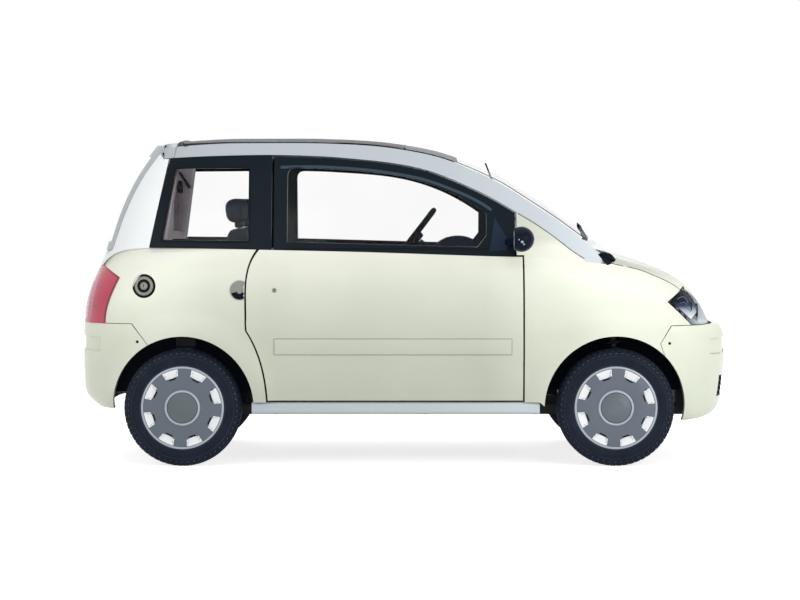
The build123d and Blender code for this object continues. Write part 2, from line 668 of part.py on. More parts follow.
def sills():
    middle = ((SILL_REAR_X + SILL_FRONT_X) / 2, -668, (SILL_BOTTOM + SILL_TOP) / 2)
    bar = Pos(*middle) * Box(SILL_FRONT_X - SILL_REAR_X, 66, SILL_TOP - SILL_BOTTOM)
    return fillet(bar.edges().filter_by(Axis.X).group_by(Axis.Y)[0], 14)


# ------------------------------------------------------------------------ under body
def chassis():
    """Ladder frame with its cross members, and the nose."""
    height = FRAME_TOP - FRAME_BOTTOM
    middle = (FRAME_TOP + FRAME_BOTTOM) / 2
    frame = Pos(-10, -RAIL_Y, middle) * Box(2560, 50, height)
    frame += Pos(-10, RAIL_Y, middle) * Box(2560, 50, height)
    for x in (REAR_CROSS_X, -700, REAR_OUTRIGGER_X, -100, 560, 940, FRONT_CROSS_X):
        frame += Pos(x, 0, middle) * Box(50, 2 * RAIL_Y, height)
    frame -= Pos(REAR_CROSS_X, 0, middle) * Rot(0, 90, 0) * Cylinder(TOW_HOLE_RADIUS, 60)
    frame -= Pos(FRONT_CROSS_X, 0, middle) * Cylinder(LASHING_HOLE_RADIUS, 60)
    return frame + nose_carrier()


def outrigger(x):
    """Bracket from the frame rail out to the sill."""
    inner_y = RAIL_Y + 25 + SEAT_GAP
    height = FRAME_TOP - OUTRIGGER_BOTTOM
    middle_y = (inner_y + SILL_INNER_Y) / 2
    return Pos(x, -middle_y, FRAME_TOP - height / 2) * Box(50, SILL_INNER_Y - inner_y, height)


def door_post():
    """Post in front of the door with the hinge arms, on its outrigger."""
    post = (lower(WING_WALL + SEAT_GAP) - lower(WING_WALL + 52)) & side_region(
        path((POST_X, SILL_TOP), (POST_X, POST_TOP), (POST_X + 44, POST_TOP), (POST_X + 44, SILL_TOP)))
    foot_top = SILL_TOP + 40
    foot_height = foot_top - OUTRIGGER_BOTTOM
    foot = Pos(POST_X + 22, -SILL_INNER_Y + 16, foot_top - foot_height / 2) * Box(44, 31, foot_height)
    post = main_piece(post) + foot + outrigger(POST_X + 22)
    for arm in door_hinge_arms():
        post += arm
    return post


def nose_carrier():
    """The cross bar behind the front bumper, with the bonnet's hinge ears."""
    top = BUMPER_TOP + PANEL_GAP - SEAT_GAP
    bar = Pos(1300, 0, top - 18) * Box(50, 1060, 36) & across(bumper_hull(BUMPER_WALL + SEAT_GAP))
    for y in (-RAIL_Y, RAIL_Y):
        bar += Pos(1262, y, (top + FRAME_BOTTOM) / 2) * Box(36, 50, top - FRAME_BOTTOM)
    for y in (-BONNET_HINGE_Y, BONNET_HINGE_Y):
        ear_y = y + math.copysign(18, y)
        reach = Pos((1280 + BONNET_HINGE_X) / 2, ear_y, BONNET_HINGE_Z) * Box(BONNET_HINGE_X - 1280, 10, 8)
        eye = Pos(BONNET_HINGE_X, ear_y, BONNET_HINGE_Z) * Rot(90, 0, 0) * Cylinder(5.5, 10)
        bore = Pos(BONNET_HINGE_X, ear_y, BONNET_HINGE_Z) * Rot(90, 0, 0) * Cylinder(3 + FIT, 20)
        bar += reach + eye - bore
    bumper_bracket = Pos(1380, 0, 568) * Box(190, 70, 14) + Pos(1300, 0, 585) * Box(30, 70, 48)
    return bar + (bumper_bracket & across(bumper_hull(BUMPER_WALL + SEAT_GAP)))


def floor_pan():
    low = FRAME_TOP + FLOOR_WALL
    shelf = SHELF_Z + FLOOR_WALL
    profile = path((-1480, SHELF_Z), (-764, SHELF_Z), (-700, FRAME_TOP), (566, FRAME_TOP), (600, 420),
                   (600, 860), (586, 860), (586, 424), (556, low), (-690, low), (-754, shelf),
                   (-1480, shelf))
    width = 2 * (SILL_INNER_Y - SEAT_GAP)
    pan = extrude(Plane.XZ.offset(-width / 2) * make_face(profile), amount=width)
    for sign in (-1, 1):
        pan -= Pos(POST_X + 22, sign * SILL_INNER_Y, 300) * Box(44 + 2 * SEAT_GAP, 2 * (31.5 + SEAT_GAP), 150)
    for x in (REAR_AXLE_X, FRONT_AXLE_X):
        for sign in (-1, 1):
            pan -= Location((x, sign * 530, TYRE_RADIUS), (90, 0, 0)) * Cylinder(ARCH_RADIUS + 12, 280)
    rear = pan & across(lower(BUMPER_WALL + SEAT_GAP)) & (Pos(-1400, 0, 500) * Box(1000, 2000, 1000))
    return main_piece(pan - Pos(-1400, 0, 500) * Box(1000, 2000, 1000)) + main_piece(rear)


def arch_liners():
    liners = []
    front_space = bumper_hull(BUMPER_WALL + SEAT_GAP)
    rear_space = lower(REAR_WING_WALL + SEAT_GAP)
    for x, depth, space in ((FRONT_AXLE_X, 300, front_space), (REAR_AXLE_X, 190, rear_space)):
        outer_y = 690
        shell = arch(x, ARCH_RADIUS + 10, outer_y - depth, outer_y)
        shell -= arch(x, ARCH_RADIUS + 4, outer_y - depth + 6, FAR)
        shell &= Pos(x, -500, TYRE_RADIUS + 300 + 60) * Box(900, 900, 600)
        shell -= Pos(x, -KINGPIN_Y, 600) * Cylinder(48, 200)
        liners.append(main_piece(shell & space))
    return Compound([s for liner in liners for s in (liner, mirrored(liner))])


def engine():
    return Pos(940, 0, FRAME_TOP + 150) * Box(420, 440, 300)


def fuel_tank():
    tank = Pos(-1150, -150, SHELF_Z - 90) * Box(180, 260, 180)
    return fillet(tank.edges().filter_by(Axis.Z), 25)


def exhaust():
    """Pipe under the cross members from the engine to the rear silencer."""
    pipe_y, pipe_z = 170, FRAME_BOTTOM - 20
    main = Pos(-180, pipe_y, pipe_z) * Rot(0, 90, 0) * Cylinder(18, 1930)
    rise = FRAME_TOP - pipe_z - SEAT_GAP
    rise_front = Pos(785, pipe_y, pipe_z + rise / 2) * Cylinder(18, rise)
    rise_rear = Pos(-1145, pipe_y, pipe_z + 60) * Cylinder(18, 120)
    silencer = Pos(-1150, 150, 350) * Rot(0, 90, 0) * Cylinder(60, 180)
    hanger = Pos(-1150, 150, (350 + SHELF_Z) / 2) * Box(24, 24, SHELF_Z - 350)
    tail_start = -1145
    tail_length = tail_start - EXHAUST_END_X
    tail = Pos(tail_start - tail_length / 2, 190, 300) * Rot(0, 90, 0) * Cylinder(18, tail_length)
    return main + rise_front + rise_rear + silencer + hanger + tail


# ------------------------------------------------------------------------- suspension
def front_suspension():
    """Lower arms, struts and the inner wings that carry the struts."""
    x = FRONT_AXLE_X
    outer_y, inner_y = -KINGPIN_Y - 22, -RAIL_Y - 25
    plan = Polyline((x - 25, outer_y), (x + 25, outer_y), (x + 80, inner_y), (x - 80, inner_y), close=True)
    arm = extrude(Plane.XY.offset(150) * make_face(plan), amount=20)
    arm += Pos(x, -RAIL_Y - 30, 195) * Box(150, 10, 90)
    ball_height = KNUCKLE_BOTTOM - SEAT_GAP - 170
    arm += Pos(x, -KINGPIN_Y, 170 + ball_height / 2) * Cylinder(14, ball_height)
    strut_height = 650 - KNUCKLE_TOP - SEAT_GAP
    strut = Pos(x, -KINGPIN_Y, 650 - strut_height / 2) * Cylinder(20, strut_height)
    tower = Pos(x, -450, 646) * Box(150, 260, 12)
    tower += Pos(x, -RAIL_Y - 19, (FRAME_TOP + 652) / 2) * Box(150, 12, 652 - FRAME_TOP)
    body = strut + tower
    return Compound([s for piece in (arm, body) for s in (piece, mirrored(piece))])


def knuckle(sign):
    post_height = KNUCKLE_TOP - KNUCKLE_BOTTOM
    post = Pos(FRONT_AXLE_X, -KINGPIN_Y, KNUCKLE_BOTTOM + post_height / 2) * Box(56, 36, post_height)
    reach = SPINDLE_END_Y - KINGPIN_Y
    spindle = Rot(90, 0, 0) * Cylinder(SPINDLE_RADIUS, reach)
    spindle = Pos(FRONT_AXLE_X, -KINGPIN_Y - reach / 2, TYRE_RADIUS) * spindle
    shape = post + spindle
    return shape if sign < 0 else mirrored(shape)


def rear_suspension():
    """Beam axle on two springs, with trailing arms and the rear spindles."""
    beam_x = REAR_AXLE_X + 90
    beam = Pos(beam_x, 0, 274) * Box(50, 1060, 40)
    for sign in (-1, 1):
        beam += Pos(REAR_AXLE_X + 40, sign * 512, 274) * Box(150, 36, 60)
        spindle = Rot(90, 0, 0) * Cylinder(SPINDLE_RADIUS, SPINDLE_END_Y - 500)
        beam += Pos(REAR_AXLE_X, sign * (500 + SPINDLE_END_Y) / 2, TYRE_RADIUS) * spindle
        beam += Pos(beam_x, sign * 340, (274 + SHELF_Z) / 2) * Cylinder(42, SHELF_Z - 274)
    return beam


# ----------------------------------------------------------------------------- wheels
def tyre(x, sign):
    half = TYRE_WIDTH / 2
    r, bead = TYRE_RADIUS, TYRE_BEAD_RADIUS
    wall = half - TYRE_LIP
    outer = [(wall, bead + 20), (half, 0.5 * r + 0.5 * bead), (half - 12, r - 12), (half - 26, r)]
    inner = [(-y, z) for y, z in reversed(outer)]
    ring = revolve(Plane.YZ * make_face(path((-wall, bead), (wall, bead), outer, inner)), Axis.Y)
    return Pos(x, sign * TRACK_HALF, TYRE_RADIUS) * ring


def rim(x, sign):
    """Steel wheel with its cover, made with the cover's face to +Y."""
    half = TYRE_WIDTH / 2
    seat = TYRE_BEAD_RADIUS - SEAT_GAP
    back = half - TYRE_LIP + SEAT_GAP
    disc_radius = COVER_RADIUS - COVER_RIM
    floor = half - 6
    barrel = Rot(90, 0, 0) * (Cylinder(seat, 2 * back - 4) - Cylinder(seat - 8, TYRE_WIDTH))
    dish_profile = path((back - 6, 0), (back - 6, seat - 8), (back, seat), (back, COVER_RADIUS),
                        (half - 1, COVER_RADIUS), (half + 1, COVER_RADIUS - 5), (half, disc_radius),
                        (floor, COVER_NOTCH_INNER + 6), (floor, 0))
    dish = revolve(Plane.YZ * make_face(dish_profile), Axis.Y)
    disc_profile = path((floor - 1, 0), (floor - 1, disc_radius - 1), (half, disc_radius - 1),
                        [(half, disc_radius - 1), (half + 3, 130), (half + 2, 80)],
                        (half + 8, 77), (half + 8, 71), (half + 5, 68),
                        [(half + 5, 68), (half + 7, 35), (half + 8, 0)])
    disc = revolve(Plane.YZ * make_face(disc_profile), Axis.Y)
    notch_shape = Polyline((-20, COVER_NOTCH_INNER + 6), (-14, COVER_NOTCH_INNER), (14, COVER_NOTCH_INNER),
                           (20, COVER_NOTCH_INNER + 6), (34, 180), (-34, 180), close=True)
    notch = extrude(Plane.XZ.offset(-half - 20) * make_face(notch_shape), amount=20 + half - floor)
    vent = Pos(0, half, COVER_NOTCH_INNER + 7) * Box(30, 60, 9)
    for i in range(COVER_NOTCHES):
        turn = Rot(0, 360 / COVER_NOTCHES * i + COVER_NOTCH_TURN, 0)
        disc -= turn * notch
        dish -= turn * vent
    hub = Pos(0, 20, 0) * Rot(90, 0, 0) * Cylinder(44, 84)
    web = Pos(0, 20, 0) * Rot(90, 0, 0) * Cylinder(seat - 4, 12)
    wheel = barrel + dish + disc + hub + web
    wheel -= Pos(0, -30, 0) * Rot(90, 0, 0) * Cylinder(SPINDLE_RADIUS + FIT, 110)
    if sign < 0:
        wheel = Rot(0, 0, 180) * wheel
    return Pos(x, sign * TRACK_HALF, TYRE_RADIUS) * wheel


# ---------------------------------------------------------------------------- lights
def headlamps():
    lamp = (lower(0) - lower(95)) & headlamp_region()
    return both(main_piece(lamp))


def tail_lamps():
    lamp = (lower(-2) - lower(42)) & tail_lamp_region()
    lamp -= tailgate_gap()
    return both(main_piece(lamp))


# --------------------------------------------------------------------------- interior
def seat(sign):
    cushion = Pos(-430, 0, 445) * Box(500, 440, 130)
    back = Pos(-722, 0, 790) * Rot(0, -12, 0) * Box(110, 420, 580)
    rest = Pos(-772, 0, 1146) * Rot(0, -8, 0) * Box(84, 250, 104)
    post = Pos(-765, 0, 1085) * Rot(0, -8, 0) * Box(20, 150, 60)
    base = Pos(-430, 0, (FRAME_TOP + FLOOR_WALL + 380) / 2) * Box(380, 300, 380 - FRAME_TOP - FLOOR_WALL)
    shape = cushion + back + rest + post + base
    return Pos(0, sign * 300, 0) * shape


def dashboard():
    profile = path((236, 720), (212, 860),
                   [(212, 860), (228, 930), (290, 962), (420, 968), (600, 958), (740, 905)],
                   (740, 860 + SEAT_GAP), (586 - SEAT_GAP, 860 + SEAT_GAP), (586 - SEAT_GAP, 720))
    body = extrude(Plane.XZ.offset(-585) * make_face(profile), amount=1170)
    hood_profile = path((196, 930), [(150, 978), (190, 1004), (330, 1000), (380, 950)])
    hood = extrude(Plane.XZ.offset(-420) * make_face(hood_profile), amount=240)
    column_axis = Plane(origin=WHEEL_CENTRE, x_dir=(0, 1, 0), z_dir=COLUMN_AXIS)
    column = column_axis.offset(-36 - SEAT_GAP - 200) * Cylinder(26, 400)
    return body + hood + column


def steering_wheel():
    plane = Plane(origin=WHEEL_CENTRE, x_dir=(0, 1, 0), z_dir=COLUMN_AXIS)
    ring = Torus(172, 13)
    hub = Pos(0, 0, -14) * Cylinder(52, 44)
    spokes = Pos(0, 0, -8) * (Box(330, 34, 12) + Pos(0, 80, 0) * Box(34, 170, 12))
    return plane * (ring + hub + spokes)


def wiper():
    """Arm and blade parked along the foot of the windscreen."""
    layer = below_roof(-20) - below_roof(1 - SEAT_GAP)
    blade = Pos(826, 30, 1000) * Rot(0, 0, 84) * Box(520, 12, 400)
    arm = Pos(846, 190, 1000) * Rot(0, 0, 79) * Box(260, 14, 400)
    return main_piece((blade + arm) & layer)


def antenna():
    plane = Plane(origin=(446, 575, 1240), x_dir=(0, 1, 0), z_dir=(-0.36, 0, 0.93))
    mast = plane * Pos(0, 0, 70) * Cylinder(4, 140)
    base = plane * Pos(0, 0, 25) * Cylinder(10, 50)
    return main_piece(mast + base - mirrored(rail_region(SEAT_GAP)))


# ------------------------------------------------------------------------------ output
def build():
    nodes = {}
    panel, frame, glass = doors()
    for hand, turn in (("right", lambda s: s), ("left", mirrored)):
        nodes[f"door_{hand}_panel"] = turn(panel)
        nodes[f"door_{hand}_frame"] = turn(frame)
        nodes[f"door_{hand}_glass"] = turn(glass)
        nodes[f"door_{hand}_mirror"] = turn(door_mirror())
    nodes["rear_wings"] = rear_wings()
    nodes["fuel_cap"] = fuel_cap()
    nodes["rear_pillars"] = both(rear_pillars())
    band, side_glass = side_windows()
    nodes["window_pillars"] = both(band)
    nodes["side_windows"] = both(side_glass)
    nodes["roof_rails"] = both(roof_rail())
    nodes["roof_panel"] = roof_panel()
    nodes["windscreen"] = windscreen()
    nodes["front_wings"] = both(front_wings())
    nodes["bonnet"] = bonnet()
    nodes["scuttle_panel"] = scuttle()
    gate_panel, gate_frame, gate_glass = tailgate()
    nodes["tailgate_panel"] = gate_panel
    nodes["tailgate_frame"] = gate_frame
    nodes["tailgate_glass"] = gate_glass
    nodes["front_bumper"] = front_bumper()
    nodes["front_grille"] = front_grille()
    nodes["rear_bumper"] = rear_bumper()
    nodes["sills"] = both(sills())
    nodes["chassis_frame"] = chassis()
    nodes["door_posts"] = both(door_post())
    nodes["rear_outriggers"] = both(outrigger(REAR_OUTRIGGER_X))
    nodes["floor_pan"] = floor_pan()
    nodes["arch_liners"] = arch_liners()
    nodes["engine"] = engine()
    nodes["fuel_tank"] = fuel_tank()
    nodes["exhaust"] = exhaust()
    nodes["front_suspension"] = front_suspension()
    nodes["rear_suspension"] = rear_suspension()
    nodes["knuckle_right"] = knuckle(-1)
    nodes["knuckle_left"] = knuckle(1)
    for end, x in (("front", FRONT_AXLE_X), ("rear", REAR_AXLE_X)):
        for hand, sign in (("right", -1), ("left", 1)):
            nodes[f"tyre_{end}_{hand}"] = tyre(x, sign)
            nodes[f"rim_{end}_{hand}"] = rim(x, sign)
    nodes["headlamps"] = headlamps()
    nodes["tail_lamps"] = tail_lamps()
    nodes["seats"] = Compound([seat(-1), seat(1)])
    nodes["dashboard"] = dashboard()
    nodes["steering_wheel"] = steering_wheel()
    nodes["wiper"] = wiper()
    nodes["antenna"] = antenna()
    return nodes


os.makedirs("parts", exist_ok=True)
for name, shape in build().items():
    export_step(shape, f"parts/{name}.step")
    print(name, len(shape.solids()))
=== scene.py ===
import math
import bmesh
import bpy
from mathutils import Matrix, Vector
from mathutils.bvhtree import BVHTree

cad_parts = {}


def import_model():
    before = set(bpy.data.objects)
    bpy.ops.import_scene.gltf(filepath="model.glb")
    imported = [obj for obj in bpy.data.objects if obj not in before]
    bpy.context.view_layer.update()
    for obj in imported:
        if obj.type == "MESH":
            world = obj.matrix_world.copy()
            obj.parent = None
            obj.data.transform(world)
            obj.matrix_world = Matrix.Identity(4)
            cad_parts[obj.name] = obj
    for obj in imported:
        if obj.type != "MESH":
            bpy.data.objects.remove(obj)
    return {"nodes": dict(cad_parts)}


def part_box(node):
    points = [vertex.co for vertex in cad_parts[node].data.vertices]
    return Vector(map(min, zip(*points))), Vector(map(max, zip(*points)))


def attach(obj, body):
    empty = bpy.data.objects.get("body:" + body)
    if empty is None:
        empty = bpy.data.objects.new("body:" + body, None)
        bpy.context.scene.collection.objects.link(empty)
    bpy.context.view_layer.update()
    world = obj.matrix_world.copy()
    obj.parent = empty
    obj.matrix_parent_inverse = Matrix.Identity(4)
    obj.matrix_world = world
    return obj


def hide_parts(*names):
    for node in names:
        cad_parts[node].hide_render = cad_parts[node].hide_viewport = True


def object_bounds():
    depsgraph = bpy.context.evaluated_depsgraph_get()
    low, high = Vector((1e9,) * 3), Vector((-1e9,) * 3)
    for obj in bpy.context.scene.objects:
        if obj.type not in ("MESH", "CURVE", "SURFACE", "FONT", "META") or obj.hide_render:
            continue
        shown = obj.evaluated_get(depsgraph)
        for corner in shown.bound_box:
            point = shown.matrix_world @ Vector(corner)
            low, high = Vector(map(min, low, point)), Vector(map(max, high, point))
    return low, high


# The looks of the two-seat microcar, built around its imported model. Lengths are in metres.

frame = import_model()
CAD_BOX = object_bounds()
NODES = frame["nodes"]
RIGHT, LEFT = -1, 1
HANDS = ((RIGHT, "right"), (LEFT, "left"))


# ------------------------------------------------------------------------- materials
def tone(red, green, blue):
    """A display colour, 0 to 255, as the linear colour that a shader takes."""
    def linear(v):
        v /= 255
        return v / 12.92 if v <= 0.04045 else ((v + 0.055) / 1.055) ** 2.4
    return linear(red), linear(green), linear(blue), 1.0


def grey(value):
    return (value, value, value, 1.0)


def shade(colour, factor):
    return tuple(c * factor for c in colour[:3]) + (1.0,)


class Finish:
    """A node material on one Principled shader, with helpers for its procedural detail."""

    def __init__(self, name, roughness, metallic=0.0, coat=0.0, coat_roughness=0.04, ior=1.5,
                 specular=0.5, sheen=0.0):
        self.material = bpy.data.materials.new(name)
        self.material.use_nodes = True
        self.tree = self.material.node_tree
        self.shader = self.tree.nodes["Principled BSDF"]
        self.height = None
        for socket, value in (("Roughness", roughness), ("Metallic", metallic), ("IOR", ior),
                              ("Coat Weight", coat), ("Coat Roughness", coat_roughness),
                              ("Specular IOR Level", specular), ("Sheen Weight", sheen)):
            self.shader.inputs[socket].default_value = value

    def node(self, kind, **values):
        made = self.tree.nodes.new("ShaderNode" + kind)
        for key, value in values.items():
            if key in made.inputs:
                made.inputs[key].default_value = value
            else:
                setattr(made, key, value)
        return made

    def link(self, output, target):
        self.tree.links.new(output, target)

    def place(self, stretch=(1, 1, 1)):
        coordinates = self.node("TexCoord")
        mapping = self.node("Mapping", Scale=stretch)
        self.link(coordinates.outputs["Object"], mapping.inputs["Vector"])
        return mapping.outputs["Vector"]

    def noise(self, scale, detail=3.0, stretch=(1, 1, 1)):
        made = self.node("TexNoise", Scale=scale, Detail=detail)
        self.link(self.place(stretch), made.inputs["Vector"])
        return made.outputs["Fac"]

    def cells(self, scale, stretch=(1, 1, 1)):
        made = self.node("TexVoronoi", Scale=scale)
        self.link(self.place(stretch), made.inputs["Vector"])
        return made.outputs["Distance"]

    def waves(self, scale, direction="X", distortion=0.0):
        made = self.node("TexWave", Scale=scale, Distortion=distortion, bands_direction=direction)
        self.link(self.place(), made.inputs["Vector"])
        return made.outputs["Fac"]

    def along(self, axis, start, end):
        """0 to 1 as the object's X, Y or Z goes from start to end."""
        split = self.node("SeparateXYZ")
        self.link(self.place(), split.inputs["Vector"])
        made = self.node("MapRange")
        made.inputs["From Min"].default_value = start
        made.inputs["From Max"].default_value = end
        self.link(split.outputs[axis], made.inputs["Value"])
        return made.outputs["Result"]

    def spread(self, value, low, high):
        """value, 0 to 1, mapped to low to high."""
        made = self.node("MapRange")
        made.inputs["To Min"].default_value = low
        made.inputs["To Max"].default_value = high
        self.link(value, made.inputs["Value"])
        return made.outputs["Result"]

    def ramp(self, value, stops):
        made = self.node("ValToRGB")
        elements = made.color_ramp.elements
        elements[0].position, elements[0].color = stops[0]
        elements[1].position, elements[1].color = stops[-1]
        for position, colour in stops[1:-1]:
            elements.new(position).color = colour
        self.link(value, made.inputs["Fac"])
        return made.outputs["Color"]

    def colours(self, value, stops):
        self.link(self.ramp(value, stops), self.shader.inputs["Base Color"])
        return self

    def rough(self, value, low, high):
        self.link(self.spread(value, low, high), self.shader.inputs["Roughness"])
        return self

    def bump(self, value, strength, distance):
        made = self.node("Bump", Strength=strength, Distance=distance)
        self.link(value, made.inputs["Height"])
        if self.height is not None:
            self.link(self.height, made.inputs["Normal"])
        self.height = made.outputs["Normal"]
        self.link(self.height, self.shader.inputs["Normal"])
        return self


def paint(name, colour, roughness=0.3, coat=0.5, metallic=0.0, flake=0.0, wear=0.03, specular=0.5):
    """Sprayed paint or gel coat: a faint mottle, orange peel and, if metallic, fine flakes."""
    f = Finish(name, roughness, metallic=metallic, coat=coat, specular=specular)
    f.colours(f.noise(2.2, 4.0), [(0.3, shade(colour, 1 - wear)), (0.7, colour)])
    f.rough(f.noise(9.0, 5.0), roughness - 0.04, roughness + 0.05)
    f.bump(f.noise(420.0, 2.0), 0.05, 0.0004)
    if flake:
        f.bump(f.cells(1900.0), flake, 0.0003)
    return f.material


def body_paint(name="ivory_gel_coat_painted_light", start=0.25, end=1.05, stops=(
        (0.0, tone(188, 193, 177)), (0.42, tone(198, 203, 187)), (0.90, tone(236, 239, 224)),
        (0.96, tone(208, 210, 196)), (1.0, tone(206, 208, 194)))):
    """Ivory gel coat with painted light and shade along Z (by default darker towards the road, lightest at
    the shoulder and darker again above it), and a trace of road dust.
    """
    f = Finish(name, 0.42, coat=0.2, coat_roughness=0.16)
    # painted light and shade by height
    height = f.ramp(f.along("Z", start, end), list(stops))
    dust = f.ramp(f.noise(3.0, 6.0), [(0.35, (0.95, 0.95, 0.94, 1)), (0.65, (1, 1, 1, 1))])
    # painted light: the ends of the car are painted brighter than its doors, standing in for stronger light
    # there
    ends = f.ramp(f.along("X", -1.5, 1.5), [(share, grey(value)) for share, value in (
        (0.0, 1.36), (0.12, 1.22), (0.22, 1.02), (0.29, 0.95),
        (0.62, 0.93), (0.70, 1.12), (0.80, 1.26), (0.92, 1.42))])
    mixed = height
    for layer in (dust, ends):
        product = f.node("Mix", data_type="RGBA", blend_type="MULTIPLY")
        product.inputs[0].default_value = 1.0
        f.link(mixed, product.inputs[6])
        f.link(layer, product.inputs[7])
        mixed = product.outputs[2]
    # a ceiling keeps the painted light below a pale ivory
    capped = f.node("Mix", data_type="RGBA", blend_type="DARKEN")
    capped.inputs[0].default_value = 1.0
    capped.inputs[7].default_value = tone(240, 242, 229)
    f.link(mixed, capped.inputs[6])
    f.link(capped.outputs[2], f.shader.inputs["Base Color"])
    f.rough(f.noise(9.0, 5.0), 0.36, 0.48)
    f.bump(f.noise(420.0, 2.0), 0.05, 0.0004)
    return f.material


def rail_paint():
    """Silver with fine flakes, a little paler down the windscreen's sides."""
    f = Finish("silver_rail_paint", 0.45, metallic=0.1, coat=0.1)
    f.colours(f.along("X", -0.6, 0.9), [(0.0, tone(176, 184, 190)), (0.5, tone(182, 190, 196)),
                                        (1.0, tone(200, 208, 213))])
    f.rough(f.noise(9.0, 5.0), 0.41, 0.5)
    f.bump(f.cells(1900.0), 0.12, 0.0003)
    return f.material


def moulded(name, colour, roughness=0.55, grain=900.0, depth=0.25, coat=0.0, specular=0.4):
    """Moulded plastic with a fine leather-like grain."""
    f = Finish(name, roughness, coat=coat, specular=specular)
    f.colours(f.noise(6.0, 6.0), [(0.3, shade(colour, 0.82)), (0.7, shade(colour, 1.12))])
    f.rough(f.noise(30.0, 4.0), roughness - 0.07, roughness + 0.08)
    f.bump(f.cells(grain), depth, 0.0004)
    return f.material


def rubber(name, colour, roughness=0.62, specular=0.2):
    f = Finish(name, roughness, specular=specular)
    f.colours(f.noise(14.0, 8.0), [(0.25, shade(colour, 0.7)), (0.75, shade(colour, 1.35))])
    f.rough(f.noise(60.0, 4.0), roughness - 0.12, roughness + 0.12)
    f.bump(f.noise(1500.0, 3.0), 0.2, 0.0004)
    return f.material


def metal(name, colour, roughness=0.35, brushed=0.0, pits=0.0):
    f = Finish(name, roughness, metallic=1.0)
    f.colours(f.noise(12.0, 6.0), [(0.3, shade(colour, 0.8)), (0.7, colour)])
    f.rough(f.noise(40.0, 4.0, (1, 1, 12) if brushed else (1, 1, 1)),
            max(roughness - 0.08, 0.01), roughness + 0.1)
    if brushed:
        f.bump(f.noise(300.0, 3.0, (0.05, 1, 1)), brushed, 0.0003)
    if pits:
        f.bump(f.noise(260.0, 5.0), pits, 0.0008)
    return f.material


def cloth(name, colour, second, scale=420.0):
    """Woven seat cloth: two crossed thread waves with a fleck of a second colour."""
    f = Finish(name, 0.9, specular=0.05, sheen=0.08)
    f.colours(f.noise(85.0, 7.0), [(0.35, colour), (0.52, shade(colour, 1.25)), (0.66, second)])
    f.bump(f.waves(scale, "DIAGONAL", 0.6), 0.35, 0.0006)
    f.bump(f.waves(scale, "Z", 0.6), 0.35, 0.0006)
    f.bump(f.noise(1100.0, 3.0), 0.3, 0.0005)
    return f.material


def glazing(name, colour, gloss=1.0, ribs=None):
    """Thin clear glass or lens plastic: see-through, with reflections that grow at its edges."""
    f = Finish(name, 0.03)
    f.colours(f.noise(1.3, 2.0), [(0.3, shade(colour, 0.97)), (0.7, colour)])
    f.rough(f.noise(5.0, 4.0), 0.0, 0.05)
    f.shader.inputs["Metallic"].default_value = 1.0
    open_way = f.node("BsdfTransparent")
    f.link(f.ramp(f.noise(1.3, 2.0), [(0.3, shade(colour, 0.985)), (0.7, colour)]),
           open_way.inputs["Color"])
    edge = f.node("Fresnel", IOR=1.45)
    share = f.spread(edge.outputs["Fac"], 0.0, gloss)
    if ribs:
        f.bump(f.waves(ribs, "Z"), 0.5, 0.003)
        f.link(f.height, edge.inputs["Normal"])
    mixed = f.node("MixShader")
    f.link(share, mixed.inputs["Fac"])
    f.link(open_way.outputs["BSDF"], mixed.inputs[1])
    f.link(f.shader.outputs["BSDF"], mixed.inputs[2])
    f.link(mixed.outputs["Shader"], f.tree.nodes["Material Output"].inputs["Surface"])
    return f.material


def lamp_housing():
    """The lamp's inside, in painted light: painted shade dark behind, running to a painted bright reflection
    on the metal at the front.
    """
    f = Finish("lamp_housing", 0.5, specular=0.2)
    stops = [(0.0, tone(4, 8, 18)), (0.32, tone(10, 20, 36)), (0.44, tone(60, 74, 98)),
             (0.55, tone(196, 204, 216)), (0.66, tone(240, 242, 245)), (1.0, tone(250, 251, 252))]
    f.colours(f.along("X", 1.22, 1.42), stops)
    f.rough(f.noise(30.0, 4.0), 0.4, 0.6)
    f.bump(f.waves(60.0, "Z"), 0.12, 0.002)
    return f.material


def lamp_liner():
    """Painted shade and reflection seen through the headlamp: dark at the back, running to a painted
    silver-grey reflection at its lower front.
    """
    f = Finish("lamp_liner", 0.45, specular=0.1)
    stops = [(0.0, tone(3, 6, 14)), (0.36, tone(10, 18, 34)), (0.54, tone(52, 64, 88)),
             (0.72, tone(176, 184, 196)),
             (1.0, tone(240, 242, 244))]
    f.colours(f.along("Z", 0.775, 0.655), stops)
    f.rough(f.noise(40.0, 4.0), 0.25, 0.5)
    f.bump(f.waves(90.0, "Z"), 0.1, 0.001)
    return f.material


def tail_lens():
    """Red lens plastic with a prism pattern, lighter towards its upright edges."""
    f = Finish("tail_lens_red", 0.2, coat=0.25, specular=0.3)
    f.colours(f.along("Z", 0.63, 0.9), [(0.0, tone(196, 74, 98)), (0.45, tone(192, 62, 86)),
                                        (1.0, tone(204, 78, 100))])
    f.rough(f.noise(20.0, 3.0), 0.08, 0.2)
    f.bump(f.cells(160.0), 0.25, 0.0012)
    return f.material


